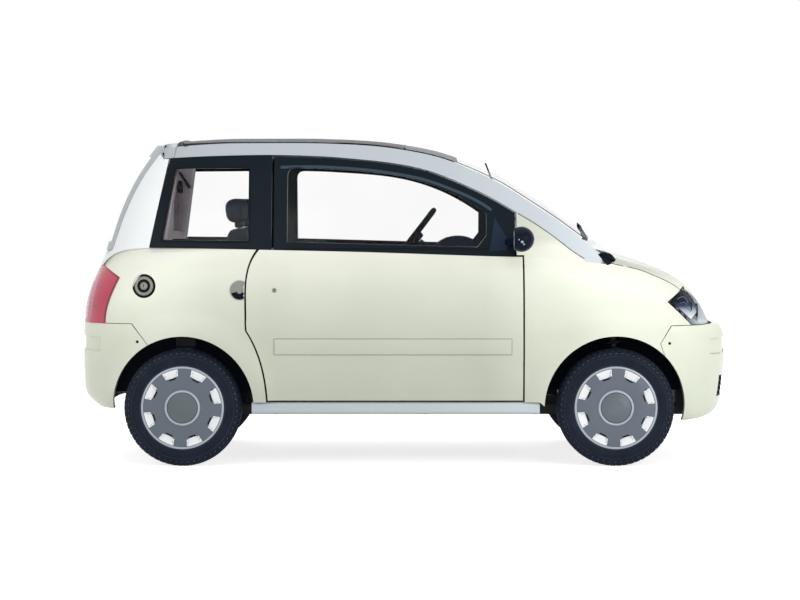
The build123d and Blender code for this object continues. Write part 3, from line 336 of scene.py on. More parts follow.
LOOKS = {
    "body_paint": body_paint(),
    "silver_paint": rail_paint(),
    "pale_silver_paint": paint("pillar_paint", tone(246, 249, 250), 0.4, coat=0.2, metallic=0.0,
                               flake=0.08),
    "black_paint": paint("satin_black", tone(11, 24, 33), 0.3, coat=0.0, wear=0.2, specular=0.1),
    "black_plastic": moulded("black_grained_plastic", tone(14, 22, 31), specular=0.05),
    "roof_paint": paint("roof_grey", tone(46, 50, 58), 0.5, coat=0.0, wear=0.1, specular=0.06),
    "window_glass": glazing("window_glass", tone(255, 255, 255), gloss=0.2),
    "lamp_clear": glazing("lamp_lens", tone(251, 252, 254), gloss=0.3),
    "lamp_red": tail_lens(),
    "frame_steel": paint("chassis_black", tone(16, 18, 22), 0.5, coat=0.0, wear=0.3, specular=0.3),
    "cast_metal": moulded("cast_iron", tone(14, 15, 18), 0.6, grain=400.0, depth=0.4, specular=0.1),
    "engine_metal": metal("engine_alloy", tone(152, 154, 156), 0.5, pits=0.35),
    "exhaust_steel": metal("exhaust_steel", tone(150, 145, 138), 0.42, brushed=0.2),
    "wheel_cover": paint("wheel_cover_silver", tone(84, 94, 105), 0.42, coat=0.15, metallic=0.2, flake=0.1),
    "tyre_rubber": rubber("tyre_rubber", tone(20, 27, 40), specular=0.12),
    "seat_cloth": cloth("seat_cloth", tone(24, 36, 54), tone(50, 64, 86)),
    "trim_grey": moulded("grey_trim", tone(24, 36, 50), 0.65, grain=1100.0, specular=0.05),
    "floor_composite": moulded("floor_composite", tone(44, 45, 48), 0.75, grain=240.0, depth=0.4),
}
EXTRA = {
    "housing": lamp_housing(),
    "mirror_glass": metal("mirror_glass", tone(205, 212, 220), 0.03),
    "bright_silver": paint("bright_wheel_silver", tone(236, 239, 241), 0.38, coat=0.1, metallic=0.0,
                           flake=0.06),
    "cap_grey": moulded("wheel_cap_grey", tone(84, 95, 101), 0.35, grain=1500.0, coat=0.3),
    "soft_black": rubber("soft_black", tone(14, 19, 27), 0.7, specular=0.08),
    "seal": rubber("window_seal", tone(10, 14, 20), 0.5, specular=0.1),
    # painted shade: the bonnet is painted darker towards its top
    "bonnet_paint": body_paint("ivory_bonnet_painted_shade", 0.72, 0.96, (
        (0.0, tone(212, 214, 202)), (0.35, tone(208, 210, 198)), (0.7, tone(178, 180, 169)),
        (1.0, tone(172, 174, 163)))),
    "band": paint("printed_band", tone(44, 50, 58), 0.45, coat=0.0, specular=0.1),
    "screen_glass": glazing("screen_glass", tone(255, 255, 255), gloss=0.07),
    "sail": paint("sail_panel", tone(30, 44, 62), 0.4, coat=0.0, specular=0.08),
    "lamp_liner": lamp_liner(),
    # painted reflections for the streaks inside the headlamp lens
    "lamp_streak": paint("lamp_streak", tone(74, 90, 118), 0.35, coat=0.0),
    "spring": paint("spring_coat", tone(20, 22, 26), 0.4, coat=0.1, specular=0.2),
    # painted highlights: the sidewall rings and shoulder lugs are lighter than the tyre's rubber
    "rib": paint("sidewall_rib_painted_highlight", tone(60, 74, 94), 0.22, coat=0.8),
    "lug": rubber("shoulder_lug", tone(88, 102, 120), 0.5),
    "dull_reflector": metal("dull_reflector", tone(96, 106, 126), 0.25),
    "strut_grey": paint("pillar_light_edge", tone(244, 242, 246), 0.5, coat=0.0),
    # painted highlight along the black door frames
    "glint": paint("frame_painted_glint", tone(50, 65, 78), 0.5, coat=0.0, specular=0.2),
    "flash": paint("shell_highlight", tone(150, 168, 190), 0.3, coat=0.4),
    "mirror_shell": paint("gloss_black", tone(14, 24, 40), 0.2, coat=0.0, wear=0.1, specular=0.06),
    "ring_silver": paint("ring_silver", tone(160, 168, 176), 0.36, coat=0.2, metallic=0.3),
    "cup": moulded("handle_cup_grey", tone(138, 140, 130), 0.5, grain=1200.0),
    "cap_ring": paint("cap_ring_grey", tone(126, 124, 112), 0.35, coat=0.2, metallic=0.4),
    "maroon": paint("lamp_border", tone(72, 20, 34), 0.2, coat=0.8),
    "pink": paint("lamp_flash", tone(226, 132, 150), 0.15, coat=1.0),
    "plate": paint("blank_plate", tone(226, 228, 226), 0.4, coat=0.2),
    "dark_trim": moulded("dark_trim", tone(16, 26, 38), 0.6, grain=1100.0, specular=0.04),
    "carpet": cloth("floor_carpet", tone(40, 41, 46), tone(66, 68, 74), 260.0),
    "steel": metal("plain_steel", tone(172, 174, 176), 0.3, brushed=0.1),
    "gauge": moulded("gauge_face", tone(18, 20, 24), 0.4, grain=2000.0),
    "needle": paint("gauge_marks", tone(226, 226, 220), 0.4, coat=0.0),
    "mauve_web": cloth("mauve_webbing", tone(120, 108, 118), tone(142, 130, 140), 700.0),
    "mauve": moulded("pillar_trim_mauve", tone(232, 218, 226), 0.7, grain=1100.0, specular=0.1),
    "bulb": paint("bulb_glass", tone(244, 240, 224), 0.08, coat=1.0),
    "lamp_white": glazing("white_lens", tone(236, 238, 240), gloss=0.8, ribs=90.0),
}


# --------------------------------------------------------------------- camera, stage
CAMERA_AT = (-0.024, -12.72, 1.1735)
CAMERA_PITCH = math.radians(-2.05)
LENS = 121.6


def camera():
    data = bpy.data.cameras.new("camera")
    data.lens, data.sensor_width = LENS, 36.0
    data.clip_end = 200.0
    made = bpy.data.objects.new("camera", data)
    made.location = CAMERA_AT
    made.rotation_euler = (math.radians(90) + CAMERA_PITCH, 0, 0)
    bpy.context.scene.collection.objects.link(made)
    bpy.context.scene.camera = made


def seen_by_camera(tree):
    """1 for rays that show the surroundings: straight, mirrored or through glass."""
    rays = tree.nodes.new("ShaderNodeLightPath")
    total = rays.outputs["Is Camera Ray"]
    for name in ("Is Glossy Ray", "Is Transmission Ray"):
        either = tree.nodes.new("ShaderNodeMath")
        either.operation = "MAXIMUM"
        tree.links.new(total, either.inputs[0])
        tree.links.new(rays.outputs[name], either.inputs[1])
        total = either.outputs[0]
    return total


def world(strength):
    made = bpy.data.worlds.new("studio")
    bpy.context.scene.world = made
    made.use_nodes = True
    tree = made.node_tree
    shown = tree.nodes["Background"]
    shown.inputs["Color"].default_value = (1, 1, 1, 1)
    lighting = tree.nodes.new("ShaderNodeBackground")
    lighting.inputs["Color"].default_value = (1, 1, 1, 1)
    lighting.inputs["Strength"].default_value = strength
    mixed = tree.nodes.new("ShaderNodeMixShader")
    tree.links.new(seen_by_camera(tree), mixed.inputs["Fac"])
    tree.links.new(lighting.outputs[0], mixed.inputs[1])
    tree.links.new(shown.outputs[0], mixed.inputs[2])
    tree.links.new(mixed.outputs[0], tree.nodes["World Output"].inputs["Surface"])


def studio_floor(glow_strength):
    """A pale floor: white to the camera, but darkened by the car's soft shadow."""
    half = 40.0
    mesh = bpy.data.meshes.new("studio_floor")
    corners = [(-half, -half, 0), (half, -half, 0), (half, half, 0), (-half, half, 0)]
    mesh.from_pydata(corners, [], [(0, 1, 2, 3)])
    made = bpy.data.objects.new("studio_floor", mesh)
    bpy.context.scene.collection.objects.link(made)
    look = bpy.data.materials.new("studio_floor")
    look.use_nodes = True
    tree = look.node_tree
    shader = tree.nodes["Principled BSDF"]
    shader.inputs["Base Color"].default_value = (0.8, 0.8, 0.8, 1)
    shader.inputs["Roughness"].default_value = 0.9
    shader.inputs["Specular IOR Level"].default_value = 0.1
    glow = tree.nodes.new("ShaderNodeEmission")
    glow.inputs["Strength"].default_value = glow_strength
    nothing = tree.nodes.new("ShaderNodeEmission")
    nothing.inputs["Strength"].default_value = 0.0
    chosen = tree.nodes.new("ShaderNodeMixShader")
    both_parts = tree.nodes.new("ShaderNodeAddShader")
    tree.links.new(seen_by_camera(tree), chosen.inputs["Fac"])
    tree.links.new(nothing.outputs[0], chosen.inputs[1])
    tree.links.new(glow.outputs[0], chosen.inputs[2])
    tree.links.new(chosen.outputs[0], both_parts.inputs[0])
    tree.links.new(shader.outputs[0], both_parts.inputs[1])
    tree.links.new(both_parts.outputs[0], tree.nodes["Material Output"].inputs["Surface"])
    mesh.materials.append(look)


def softbox(name, place, target, size, power):
    data = bpy.data.lights.new(name, "AREA")
    data.shape = "RECTANGLE"
    data.size, data.size_y = size
    data.energy = power
    made = bpy.data.objects.new(name, data)
    made.location = place
    made.rotation_euler = (Vector(target) - Vector(place)).to_track_quat("-Z", "Y").to_euler()
    bpy.context.scene.collection.objects.link(made)


def studio():
    world(0.5)
    studio_floor(0.75)
    softbox("top_softbox", (-0.6, -1.2, 6.5), (-0.3, 0, 0.6), (7.0, 5.0), 100)
    softbox("front_softbox", (5.0, -6.0, 2.4), (1.0, 0, 0.5), (7.0, 5.0), 250)
    softbox("rear_softbox", (-6.5, -5.5, 2.6), (-1.2, 0, 0.8), (4.0, 3.0), 60)
    softbox("side_softbox", (-3.0, -7.5, 3.4), (-0.4, 0, 0.7), (5.0, 3.0), 70)
    softbox("back_softbox", (0.0, 7.0, 4.0), (0, 0, 0.6), (6.0, 3.0), 90)
    bpy.context.scene.view_settings.view_transform = "Standard"


# --------------------------------------------------------------------------- helpers
def finished(name, mesh, look, body, smooth=40.0):
    """Puts a mesh into the scene: smooth but for sharp edges, on a body, in a material slot."""
    mesh.validate()
    mesh.shade_smooth()
    mesh.set_sharp_from_angle(angle=math.radians(smooth))
    mesh.materials.append(LOOKS[look] if look in LOOKS else EXTRA[look])
    made = bpy.data.objects.new(name, mesh)
    bpy.context.scene.collection.objects.link(made)
    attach(made, body)
    return made


def add(name, parts, look, body, smooth=40.0):
    """One piece from several (verts, faces) parts."""
    verts, faces = [], []
    for part_verts, part_faces in parts:
        start = len(verts)
        verts += [tuple(v) for v in part_verts]
        faces += [tuple(start + i for i in face) for face in part_faces]
    mesh = bpy.data.meshes.new(name)
    mesh.from_pydata(verts, [], faces)
    return finished(name, mesh, look, body, smooth)


def frame_about(axis):
    """Two unit vectors square to an axis."""
    axis = Vector(axis).normalized()
    first = axis.cross(Vector((0, 0, 1)))
    if first.length < 0.2:
        first = axis.cross(Vector((0, 1, 0)))
    first.normalize()
    return axis, first, axis.cross(first)


def circle(steps):
    """Even angles once round."""
    return [2 * math.pi * k / steps for k in range(steps)]


def tube_faces(rows, sides, looped=False):
    """Quads between rings of points that follow each other."""
    return [(i * sides + k, i * sides + (k + 1) % sides,
             (i + 1) % rows * sides + (k + 1) % sides, (i + 1) % rows * sides + k)
            for i in range(rows if looped else rows - 1) for k in range(sides)]


def turned(profile, at, axis, steps=40, start=0.0, end=None):
    """A lathe form: profile gives (distance along the axis, radius)."""
    axis, u, v = frame_about(axis)
    at = Vector(at)
    whole = end is None
    span = 2 * math.pi if whole else end - start
    count = steps if whole else steps + 1
    verts = []
    for i in range(count):
        turn = start + span * i / steps
        spoke = u * math.cos(turn) + v * math.sin(turn)
        verts += [at + axis * t + spoke * r for t, r in profile]
    rows = len(profile)
    faces = []
    for i in range(steps):
        a, b = i * rows, (i + 1) % count * rows
        for k in range(rows - 1):
            faces.append((a + k, a + k + 1, b + k + 1, b + k))
    return verts, faces


def swept(points, section, closed=False):
    """A section of (u, v) points carried along a path without twisting."""
    points = [Vector(p) for p in points]
    count = len(points)
    verts = []
    normal = None
    for i, point in enumerate(points):
        before = points[i - 1] if (i or closed) else point
        after = points[(i + 1) % count] if (i + 1 < count or closed) else point
        along = (after - before).normalized()
        if normal is None:
            normal = frame_about(along)[1]
        normal = (normal - along * normal.dot(along)).normalized()
        across = along.cross(normal)
        verts += [point + normal * u + across * v for u, v in section]
    n = len(section)
    faces = tube_faces(count, n, closed)
    if not closed:
        faces.append(tuple(range(n - 1, -1, -1)))
        faces.append(tuple((count - 1) * n + k for k in range(n)))
    return verts, faces


def round_section(radius, sides=12):
    return [(radius * math.cos(2 * math.pi * k / sides), radius * math.sin(2 * math.pi * k / sides))
            for k in range(sides)]


def flat_section(width, thickness):
    w, t = width / 2, thickness / 2
    return [(-t, -w), (t * 0.2, -w), (t, -w + t), (t, w - t), (t * 0.2, w), (-t, w)]


def eased(points, count=8):
    """A smooth path through a few points."""
    points = [Vector(p) for p in points]
    path = []
    for i in range(len(points) - 1):
        before = points[max(i - 1, 0)]
        a, b = points[i], points[i + 1]
        after = points[min(i + 2, len(points) - 1)]
        for k in range(count):
            t = k / count
            path.append(0.5 * (2 * a + (b - before) * t + (2 * before - 5 * a + 4 * b - after) * t * t
                               + (3 * a - before - 3 * b + after) * t ** 3))
    return path + [points[-1]]


def block(centre, size, radius=0.004, turn=0.0, steps=3):
    """A box with rounded edges, turned about Y by turn radians."""
    made = bmesh.new()
    bmesh.ops.create_cube(made, size=1.0)
    for v in made.verts:
        v.co = Vector((v.co.x * size[0], v.co.y * size[1], v.co.z * size[2]))
    bmesh.ops.bevel(made, geom=made.edges[:], offset=min(radius, min(size) * 0.49), segments=steps,
                    affect="EDGES", profile=0.5)
    cosine, sine = math.cos(turn), math.sin(turn)
    verts = [(centre[0] + v.co.x * cosine + v.co.z * sine, centre[1] + v.co.y,
              centre[2] - v.co.x * sine + v.co.z * cosine) for v in made.verts]
    made.verts.index_update()
    faces = [tuple(v.index for v in f.verts) for f in made.faces]
    made.free()
    return verts, faces


# ------------------------------------------------------------------ laid on the body
def surface_of(*names):
    verts, faces = [], []
    for name in names:
        mesh = NODES[name].data
        start = len(verts)
        verts += [v.co.copy() for v in mesh.vertices]
        faces += [[start + i for i in face.vertices] for face in mesh.polygons]
    return BVHTree.FromPolygons(verts, faces)


def meet(tree, start, direction):
    """The point where a ray meets a surface, and the normal on the ray's side."""
    direction = Vector(direction).normalized()
    point, normal, _, _ = tree.ray_cast(Vector(start), direction)
    if point is None:
        point, normal, _, _ = tree.find_nearest(Vector(start) + direction)
    if normal.dot(direction) > 0:
        normal = -normal
    return point, normal


def outside(tree, side):
    """Finds (x, z) on the car's side, from outside."""
    return lambda x, z: meet(tree, (x, side * 1.2, z), (0, -side, 0))


def inside(tree, side, from_y=0.2):
    """Finds (x, z) on the inner face of the car's side."""
    return lambda x, z: meet(tree, (x, side * from_y, z), (0, side, 0))


def bridged(cast, axis, sign, step=0.007):
    """Like a cast along an axis, 0 to 2, but it passes over narrow gaps."""
    def over(a, b):
        found = [cast(a + i * step, b + k * step) for i, k in ((0, 0), (1, 0), (-1, 0), (0, 1), (0, -1))]
        own, _ = found[0]
        point, normal = max(found, key=lambda hit: sign * hit[0][axis])
        if sign * (point[axis] - own[axis]) < 0.002:
            return found[0]
        lifted = own.copy()
        lifted[axis] = point[axis]
        return lifted, normal
    return over


def ahead(tree):
    """Finds (y, z) on the car's front."""
    return lambda y, z: meet(tree, (2.2, y, z), (-1, 0, 0))


def behind(tree):
    """Finds (y, z) on the car's back."""
    return lambda y, z: meet(tree, (-2.2, y, z), (1, 0, 0))


def kept_in(point):
    """The point, moved inside the CAD model's box if it is outside."""
    low, high = CAD_BOX
    return Vector([min(max(point[i], low[i] + 1e-4), high[i] - 1e-4) for i in range(3)])


def laid(rows, cast, lift, closed=False, sunk=0.0008):
    """A thin panel on a surface with edges that reach into it. rows hold places for cast.
    lift is one height, or a height for each place in a row. Closed rows are rings, and
    then lift has a height for each row."""
    n = len(rows[0])
    listed = isinstance(lift, (list, tuple))
    verts, bases, faces = [], [], []
    facing = None
    for i, row in enumerate(rows):
        for k, (a, b) in enumerate(row):
            point, normal = cast(a, b)
            facing = facing or normal
            height = lift[i if closed else k] if listed else lift
            verts.append(kept_in(point + normal * height))
            bases.append(point - normal * sunk)
    for i in range(len(rows) - 1):
        for k in range(n if closed else n - 1):
            m = (k + 1) % n
            faces.append((i * n + k, i * n + m, (i + 1) * n + m, (i + 1) * n + k))
    last = (len(rows) - 1) * n
    if closed:
        loops = [[k for k in range(n)], [last + k for k in reversed(range(n))]]
    else:
        loops = [[k for k in range(n)] + [i * n + n - 1 for i in range(1, len(rows))]
                 + [last + k for k in range(n - 2, -1, -1)] + [i * n for i in range(len(rows) - 2, 0, -1)]]
    for loop in loops:
        start = len(verts)
        verts += [bases[i] for i in loop]
        for k in range(len(loop)):
            m = (k + 1) % len(loop)
            faces.append((loop[m], loop[k], start + k, start + m))
    a, b, c = (verts[faces[0][i]] for i in range(3))
    if (b - a).cross(c - a).dot(facing) < 0:
        faces = [tuple(reversed(face)) for face in faces]
    return verts, faces


def rings(x, z, radii, steps=36, squeeze=1.0):
    return [[(x + r * math.cos(2 * math.pi * k / steps) * squeeze,
              z + r * math.sin(2 * math.pi * k / steps))
             for k in range(steps)] for r in radii]


def even(steps):
    """Shares from 0 to 1 in even steps."""
    return [k / steps for k in range(steps + 1)]


def edged(steps, margin):
    """Even shares with one more close to each end."""
    return [0.0, margin] + even(steps)[1:-1] + [1 - margin, 1.0]


def patch(a0, a1, b0, b1, across, up):
    """Rows of places over a rectangle, at shares of its two sides."""
    return [[(a0 + (a1 - a0) * u, b0 + (b1 - b0) * w) for w in up] for u in across]


def sides_of(corners, steps):
    """Even places along each side of an outline."""
    return [[(a0 + (a1 - a0) * u, b0 + (b1 - b0) * u) for u in even(steps)]
            for (a0, b0), (a1, b1) in zip(corners, corners[1:])]


def stripe(points, width, count=6, columns=(-0.5, 0.5)):
    """Rows of places along a path on a surface, as wide as width."""
    path = [(p.x, p.y) for p in eased([(a, b, 0) for a, b in points], count)]
    rows = []
    for i, (a, b) in enumerate(path):
        before, after = path[max(i - 1, 0)], path[min(i + 1, len(path) - 1)]
        along = Vector((after[0] - before[0], after[1] - before[1])).normalized()
        rows.append([(a - along.y * width * c, b + along.x * width * c) for c in columns])
    return rows


ROUNDED = (-0.5, -0.44, -0.2, 0.2, 0.44, 0.5)


def rounded_lifts(height):
    return [height * h for h in (0.2, 0.8, 1.0, 1.0, 0.8, 0.2)]


def bead(points, width, height, cast, count=6):
    """A rounded line laid along a path on a surface."""
    return laid(stripe(points, width, count, ROUNDED), cast, rounded_lifts(height))


def apply_looks():
    special = {"bonnet": "bonnet_paint", "windscreen": "screen_glass", "door_left_mirror": "mirror_shell",
               "door_right_mirror": "mirror_shell"}
    for name, node in NODES.items():
        given = node.data.materials[0].name.split(".")[0]
        node.data.materials.clear()
        node.data.materials.append(EXTRA[special[name]] if name in special else LOOKS[given])


# ---------------------------------------------------------------------------- wheels
TREAD_PITCHES = 58
TREAD_DEPTH = 0.0065


def tyre_profile(half, radius, bead):
    """(y, r, zone) round a tyre from the outer bead to the inner one. Zones: s wall, b shoulder, t tread."""
    wall = half - 0.010
    side = [(wall, bead), (wall + 0.004, bead + 0.007), (wall + 0.0075, bead + 0.009),
            (wall + 0.0075, bead + 0.013), (wall + 0.005, bead + 0.015), (half - 0.0012, bead + 0.030),
            (half, bead + 0.042), (half, bead + 0.050), (half - 0.0008, bead + 0.0508),
            (half - 0.0008, bead + 0.0540), (half - 0.0002, bead + 0.0548),
            (half - 0.0035, radius - 0.026)]
    points = [(y, r, "s") for y, r in side]
    points += [(half - 0.007, radius - 0.018, "b"), (half - 0.012, radius - 0.0105, "b"),
               (half - 0.019, radius - 0.0045, "b")]
    for y in (0.0470, 0.0400, 0.0392, 0.0330, 0.0322, 0.0165, 0.0157, 0.0095, 0.0087):
        points.append((min(y, half - 0.022), radius - 0.0012 * (y / half) ** 2, "t"))
    return points + [(-y, r, zone) for y, r, zone in reversed(points)]


def tyre(node, body):
    low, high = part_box(node)
    centre = (low + high) / 2
    half, radius = (high.y - low.y) / 2, (high.z - low.z) / 2
    profile = tyre_profile(half, radius, radius - 0.096)
    grooves = ((0.0322, 0.0392), (0.0087, 0.0165))
    verts, steps = [], []
    for pitch in range(TREAD_PITCHES):
        for share in (0.0, 0.035, 0.17, 0.205, 0.52):
            steps.append((2 * math.pi * (pitch + share) / TREAD_PITCHES, 0 < share < 0.2))
    for angle, slotted in steps:
        for y, r, zone in profile:
            lean = 0.0 if zone == "s" else 0.0875 * y / half
            depth = 0.0
            if zone == "t" and any(abs(abs(y) - (a + b) / 2) < 0.0035 for a, b in grooves):
                depth = TREAD_DEPTH
            if slotted and zone in "tb" and abs(y) > 0.0165:
                depth = TREAD_DEPTH * (0.85 if zone == "t" else 0.5)
            r -= depth
            verts.append((centre.x + r * math.cos(angle + lean), centre.y + y,
                          centre.z + r * math.sin(angle + lean)))
    faces = tube_faces(len(steps), len(profile), True)
    made = add("tread_" + node, [(verts, faces)], "tyre_rubber", body, 35)
    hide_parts(node)


def sidewall(end, side, hand):
    """Raised rings and shoulder lugs on a tyre's outer wall, painted lighter than the tyre rubber as painted
    highlights.
    """
    node, body = f"tyre_{end}_{hand}", f"wheel_{end}_{hand}"
    low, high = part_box(node)
    centre = (low + high) / 2
    half, radius = (high.y - low.y) / 2, (high.z - low.z) / 2
    face = Vector((centre.x, centre.y + side * half, centre.z))
    bead = radius - 0.096
    rings_made = []
    for reach, wide, depth in ((bead + 0.0165, 0.0034, -0.0030), (bead + 0.0245, 0.0014, -0.0022),
                               (radius - 0.033, 0.0010, -0.0012)):
        section = [(depth - 0.003, reach - wide), (depth, reach - wide * 0.5), (depth + 0.0006, reach),
                   (depth, reach + wide * 0.5), (depth - 0.003, reach + wide)]
        rings_made.append(turned(section, face, (0, side, 0), 120))
    add(f"sidewall_rings_{end}_{hand}", rings_made, "rib", body, 50)
    lugs = []
    for i in range(TREAD_PITCHES):
        turn = 2 * math.pi * (i + 0.36) / TREAD_PITCHES
        out = Vector((math.cos(turn), 0, math.sin(turn)))
        along = Vector((-math.sin(turn), 0, math.cos(turn)))
        inner = face - Vector((0, side, 0)) * 0.0046 + out * (radius - 0.0245)
        outer = face - Vector((0, side, 0)) * 0.0076 + out * (radius - 0.0175)
        back = Vector((0, -side * 0.004, 0))
        corners = [p + along * w for p in (inner, outer) for w in (-0.0060, 0.0060)]
        verts = corners + [c + back for c in corners]
        faces = [(0, 2, 3, 1), (4, 5, 7, 6), (0, 1, 5, 4), (2, 6, 7, 3), (0, 4, 6, 2), (1, 3, 7, 5)]
        lugs.append((verts, faces))
    add(f"shoulder_lugs_{end}_{hand}", lugs, "lug", body, 30)


def cover(end, side, hand):
    """Bright and dark pieces of a wheel cover, on the face of the CAD rim: silver wells painted near white,
    partly as painted highlight, and dark slits of painted shadow at their inner ends.
    """
    node, body = f"rim_{end}_{hand}", f"wheel_{end}_{hand}"
    tyre_low, tyre_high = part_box(f"tyre_{end}_{hand}")
    centre = (tyre_low + tyre_high) / 2
    face = Vector((centre.x, centre.y + side * (tyre_high.y - tyre_low.y) / 2, centre.z))
    axis = (0, side, 0)
    cap = [(0.0052, 0.0675), (0.0075, 0.0662), (0.0084, 0.0630), (0.0088, 0.0480), (0.0089, 0.0470),
           (0.0092, 0.0460), (0.0100, 0.0300), (0.0104, 0.0120), (0.0105, 0.0004)]
    add(f"cover_cap_{end}_{hand}", [turned(cap, face, axis, 48)], "cap_grey", body, 30)
    ring = [(0.0050, 0.0692), (0.0086, 0.0700), (0.0092, 0.0716), (0.0094, 0.0740), (0.0090, 0.0765),
            (0.0078, 0.0782), (0.0040, 0.0800), (0.0010, 0.0806)]
    rim = [(-0.0004, 0.1752), (0.0014, 0.1764), (0.0018, 0.1790), (0.0016, 0.1815), (0.0000, 0.1838)]
    add(f"cover_rings_{end}_{hand}", [turned(ring, face, axis, 64), turned(rim, face, axis, 96)],
        "ring_silver", body, 35)
    dish = outside(surface_of(node), side)
    wells, painted_shadows = [], []
    for i in range(8):
        turn = math.radians(26 + 45 * i)
        out = Vector((-side * math.sin(turn), 0, math.cos(turn)))
        flank = Vector(axis).cross(out)

        def place(across, reach):
            at = centre + flank * across + out * reach
            return at.x, at.z

        # bright wells: silver, painted near white, partly as painted highlight
        shares = [-1.0, -0.97] + [k / 16 for k in range(-15, 16)] + [0.97, 1.0]
        rows = [[place(u * (0.0285 + 0.0075 * w),
                       0.1385 + 0.0345 * w - (0.0034 * u * u if w > 0.5 else -0.0020 * u * u))
                 for u in shares] for w in (0.0, 0.04, 0.15, 0.3, 0.45, 0.6, 0.75, 0.9, 0.97, 1.0)]
        wells.append(laid(rows, dish, 0.0008))
        # painted shadow: dark slits at the wells' inner ends, where the notches fall into shade
        rows = [[place(0.0146 * u, 0.1312 + 0.0062 * w) for u in (-1.0, -0.5, 0.0, 0.5,
                                                                  1.0)] for w in (0.0, 0.5, 1.0)]
        painted_shadows.append(laid(rows, lambda x, z: (Vector((x, face.y - side * 0.0040, z)), Vector(axis)), 0.0,
                          sunk=0.001))
    add(f"cover_bright_{end}_{hand}", wells, "bright_silver", body, 35)
    add(f"cover_painted_shadows_{end}_{hand}", painted_shadows, "seal", body, 35)
    valve = face + Vector((0.155 * math.cos(0.55), 0, 0.155 * math.sin(0.55))) + Vector(axis) * -0.006
    stem = [(0.0, 0.0052), (0.004, 0.0050), (0.006, 0.0038), (0.0085, 0.0036), (0.0088, 0.0001)]
    add(f"valve_{end}_{hand}", [turned(stem, valve, axis, 14)], "soft_black", body, 40)


def wheels():
    for end in ("front", "rear"):
        for side, hand in HANDS:
            tyre(f"tyre_{end}_{hand}", f"wheel_{end}_{hand}")
            sidewall(end, side, hand)
            cover(end, side, hand)


# ----------------------------------------------------------------------------- lamps
def lamp_shells():
    """Clear lens skins over open housings, from the faces of the CAD headlamp blocks."""
    source = NODES["headlamps"].data
    made = bmesh.new()
    made.from_mesh(source)
    bmesh.ops.remove_doubles(made, verts=made.verts, dist=2e-5)
    outer = [f for f in made.faces if f.normal.x > 0.1 and abs(f.normal.y) > 0.01]
    for name, gone, look in (("headlamp_lens", [f for f in made.faces if f not in set(outer)],
                              "lamp_clear"),
                             ("headlamp_housing", outer, "housing")):
        kept = made.copy()
        kept.faces.ensure_lookup_table()
        indices = {f.index for f in gone}
        bmesh.ops.delete(kept, geom=[f for f in kept.faces if f.index in indices], context="FACES")
        if name == "headlamp_housing":
            for v in kept.verts:
                v.co = v.co + Vector((-0.0012, 0, 0))
        mesh = bpy.data.meshes.new(name)
        kept.to_mesh(mesh)
        kept.free()
        piece = finished(name, mesh, look, "body", 30)
        if name == "headlamp_lens":
            wall = piece.modifiers.new("wall", "SOLIDIFY")
            wall.thickness, wall.offset = 0.003, -1.0
            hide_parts("headlamps")
    made.free()


def headlamp_insides():
    lamps = surface_of("headlamps")
    for side, hand in HANDS:
        bowls, rims, bulbs = [], [], []
        for y, z, radius, depth in ((0.425, 0.678, 0.036, 0.030), (0.475, 0.700, 0.024, 0.020)):
            front, _ = meet(lamps, (2.2, side * y, z), (-1, 0, 0))
            base = Vector((front.x - 0.014 - depth, side * y, z))
            profile = [(depth * (r / radius) ** 2, max(r, 0.0006)) for r in
                       [radius * k / 8 for k in range(9)]]
            back = [(depth - 0.002, radius + 0.0025), (-0.004, radius * 0.4)]
            bowls.append(turned(profile + [(depth + 0.001, radius + 0.0025)] + back, base, (1, 0, 0), 40))
            rims.append(turned([(depth, radius), (depth + 0.003, radius + 0.001),
                                (depth + 0.003, radius + 0.004), (depth - 0.002, radius + 0.005)],
                               base, (1, 0, 0), 40))
            bulbs.append(turned([(0.002, 0.0085), (depth * 0.55, 0.0085), (depth * 0.72, 0.006),
                                 (depth * 0.78, 0.0004)], base, (1, 0, 0), 20))
        add(f"headlamp_reflectors_{hand}", bowls, "dull_reflector", "body", 40)
        add(f"headlamp_bezels_{hand}", rims, "dark_trim", "body", 40)
        add(f"headlamp_bulbs_{hand}", bulbs, "bulb", "body", 40)
        # painted shade and reflections: what shows through the lens from the side, dark behind, streaked
        # with painted reflections towards the front
        seen = outside(lamps, side)
        wedge = [((1.1925, 0.7335), (1.2500, 0.7830)), ((1.2200, 0.7120), (1.2780, 0.7700)),
                 ((1.2450, 0.6900), (1.3000, 0.7440)),
                 ((1.2680, 0.6700), (1.3180, 0.7160)), ((1.2900, 0.6500), (1.3300, 0.6880))]
        rows = []
        for k in range(17):
            u = k / 16 * 4
            i = min(int(u), 3)
            t = u - i
            (ax, az), (bx, bz) = ([a + (b - a) * t for a,
                                   b in zip(wedge[i][e], wedge[i + 1][e])] for e in (0, 1))
            rows.append([(ax + (bx - ax) * w, az + (bz - az) * w) for w in (0.0, 0.03, 0.3, 0.6, 0.97,
                                                                            1.0)])
        add(f"headlamp_liner_{hand}", [laid(rows, seen, 0.0010)], "lamp_liner", "body", 40)
        # painted reflections: light streaks inside the lens
        streaks = [bead(path, width, 0.0022, seen, 6) for path, width in (
            ([(1.222, 0.742), (1.250, 0.752), (1.268, 0.740), (1.276, 0.722)], 0.0040),
            ([(1.236, 0.724), (1.258, 0.726), (1.272, 0.712)], 0.0030),
            ([(1.248, 0.706), (1.272, 0.700), (1.290, 0.684)], 0.0036))]
        add(f"headlamp_streaks_{hand}", streaks, "lamp_streak", "body", 40)


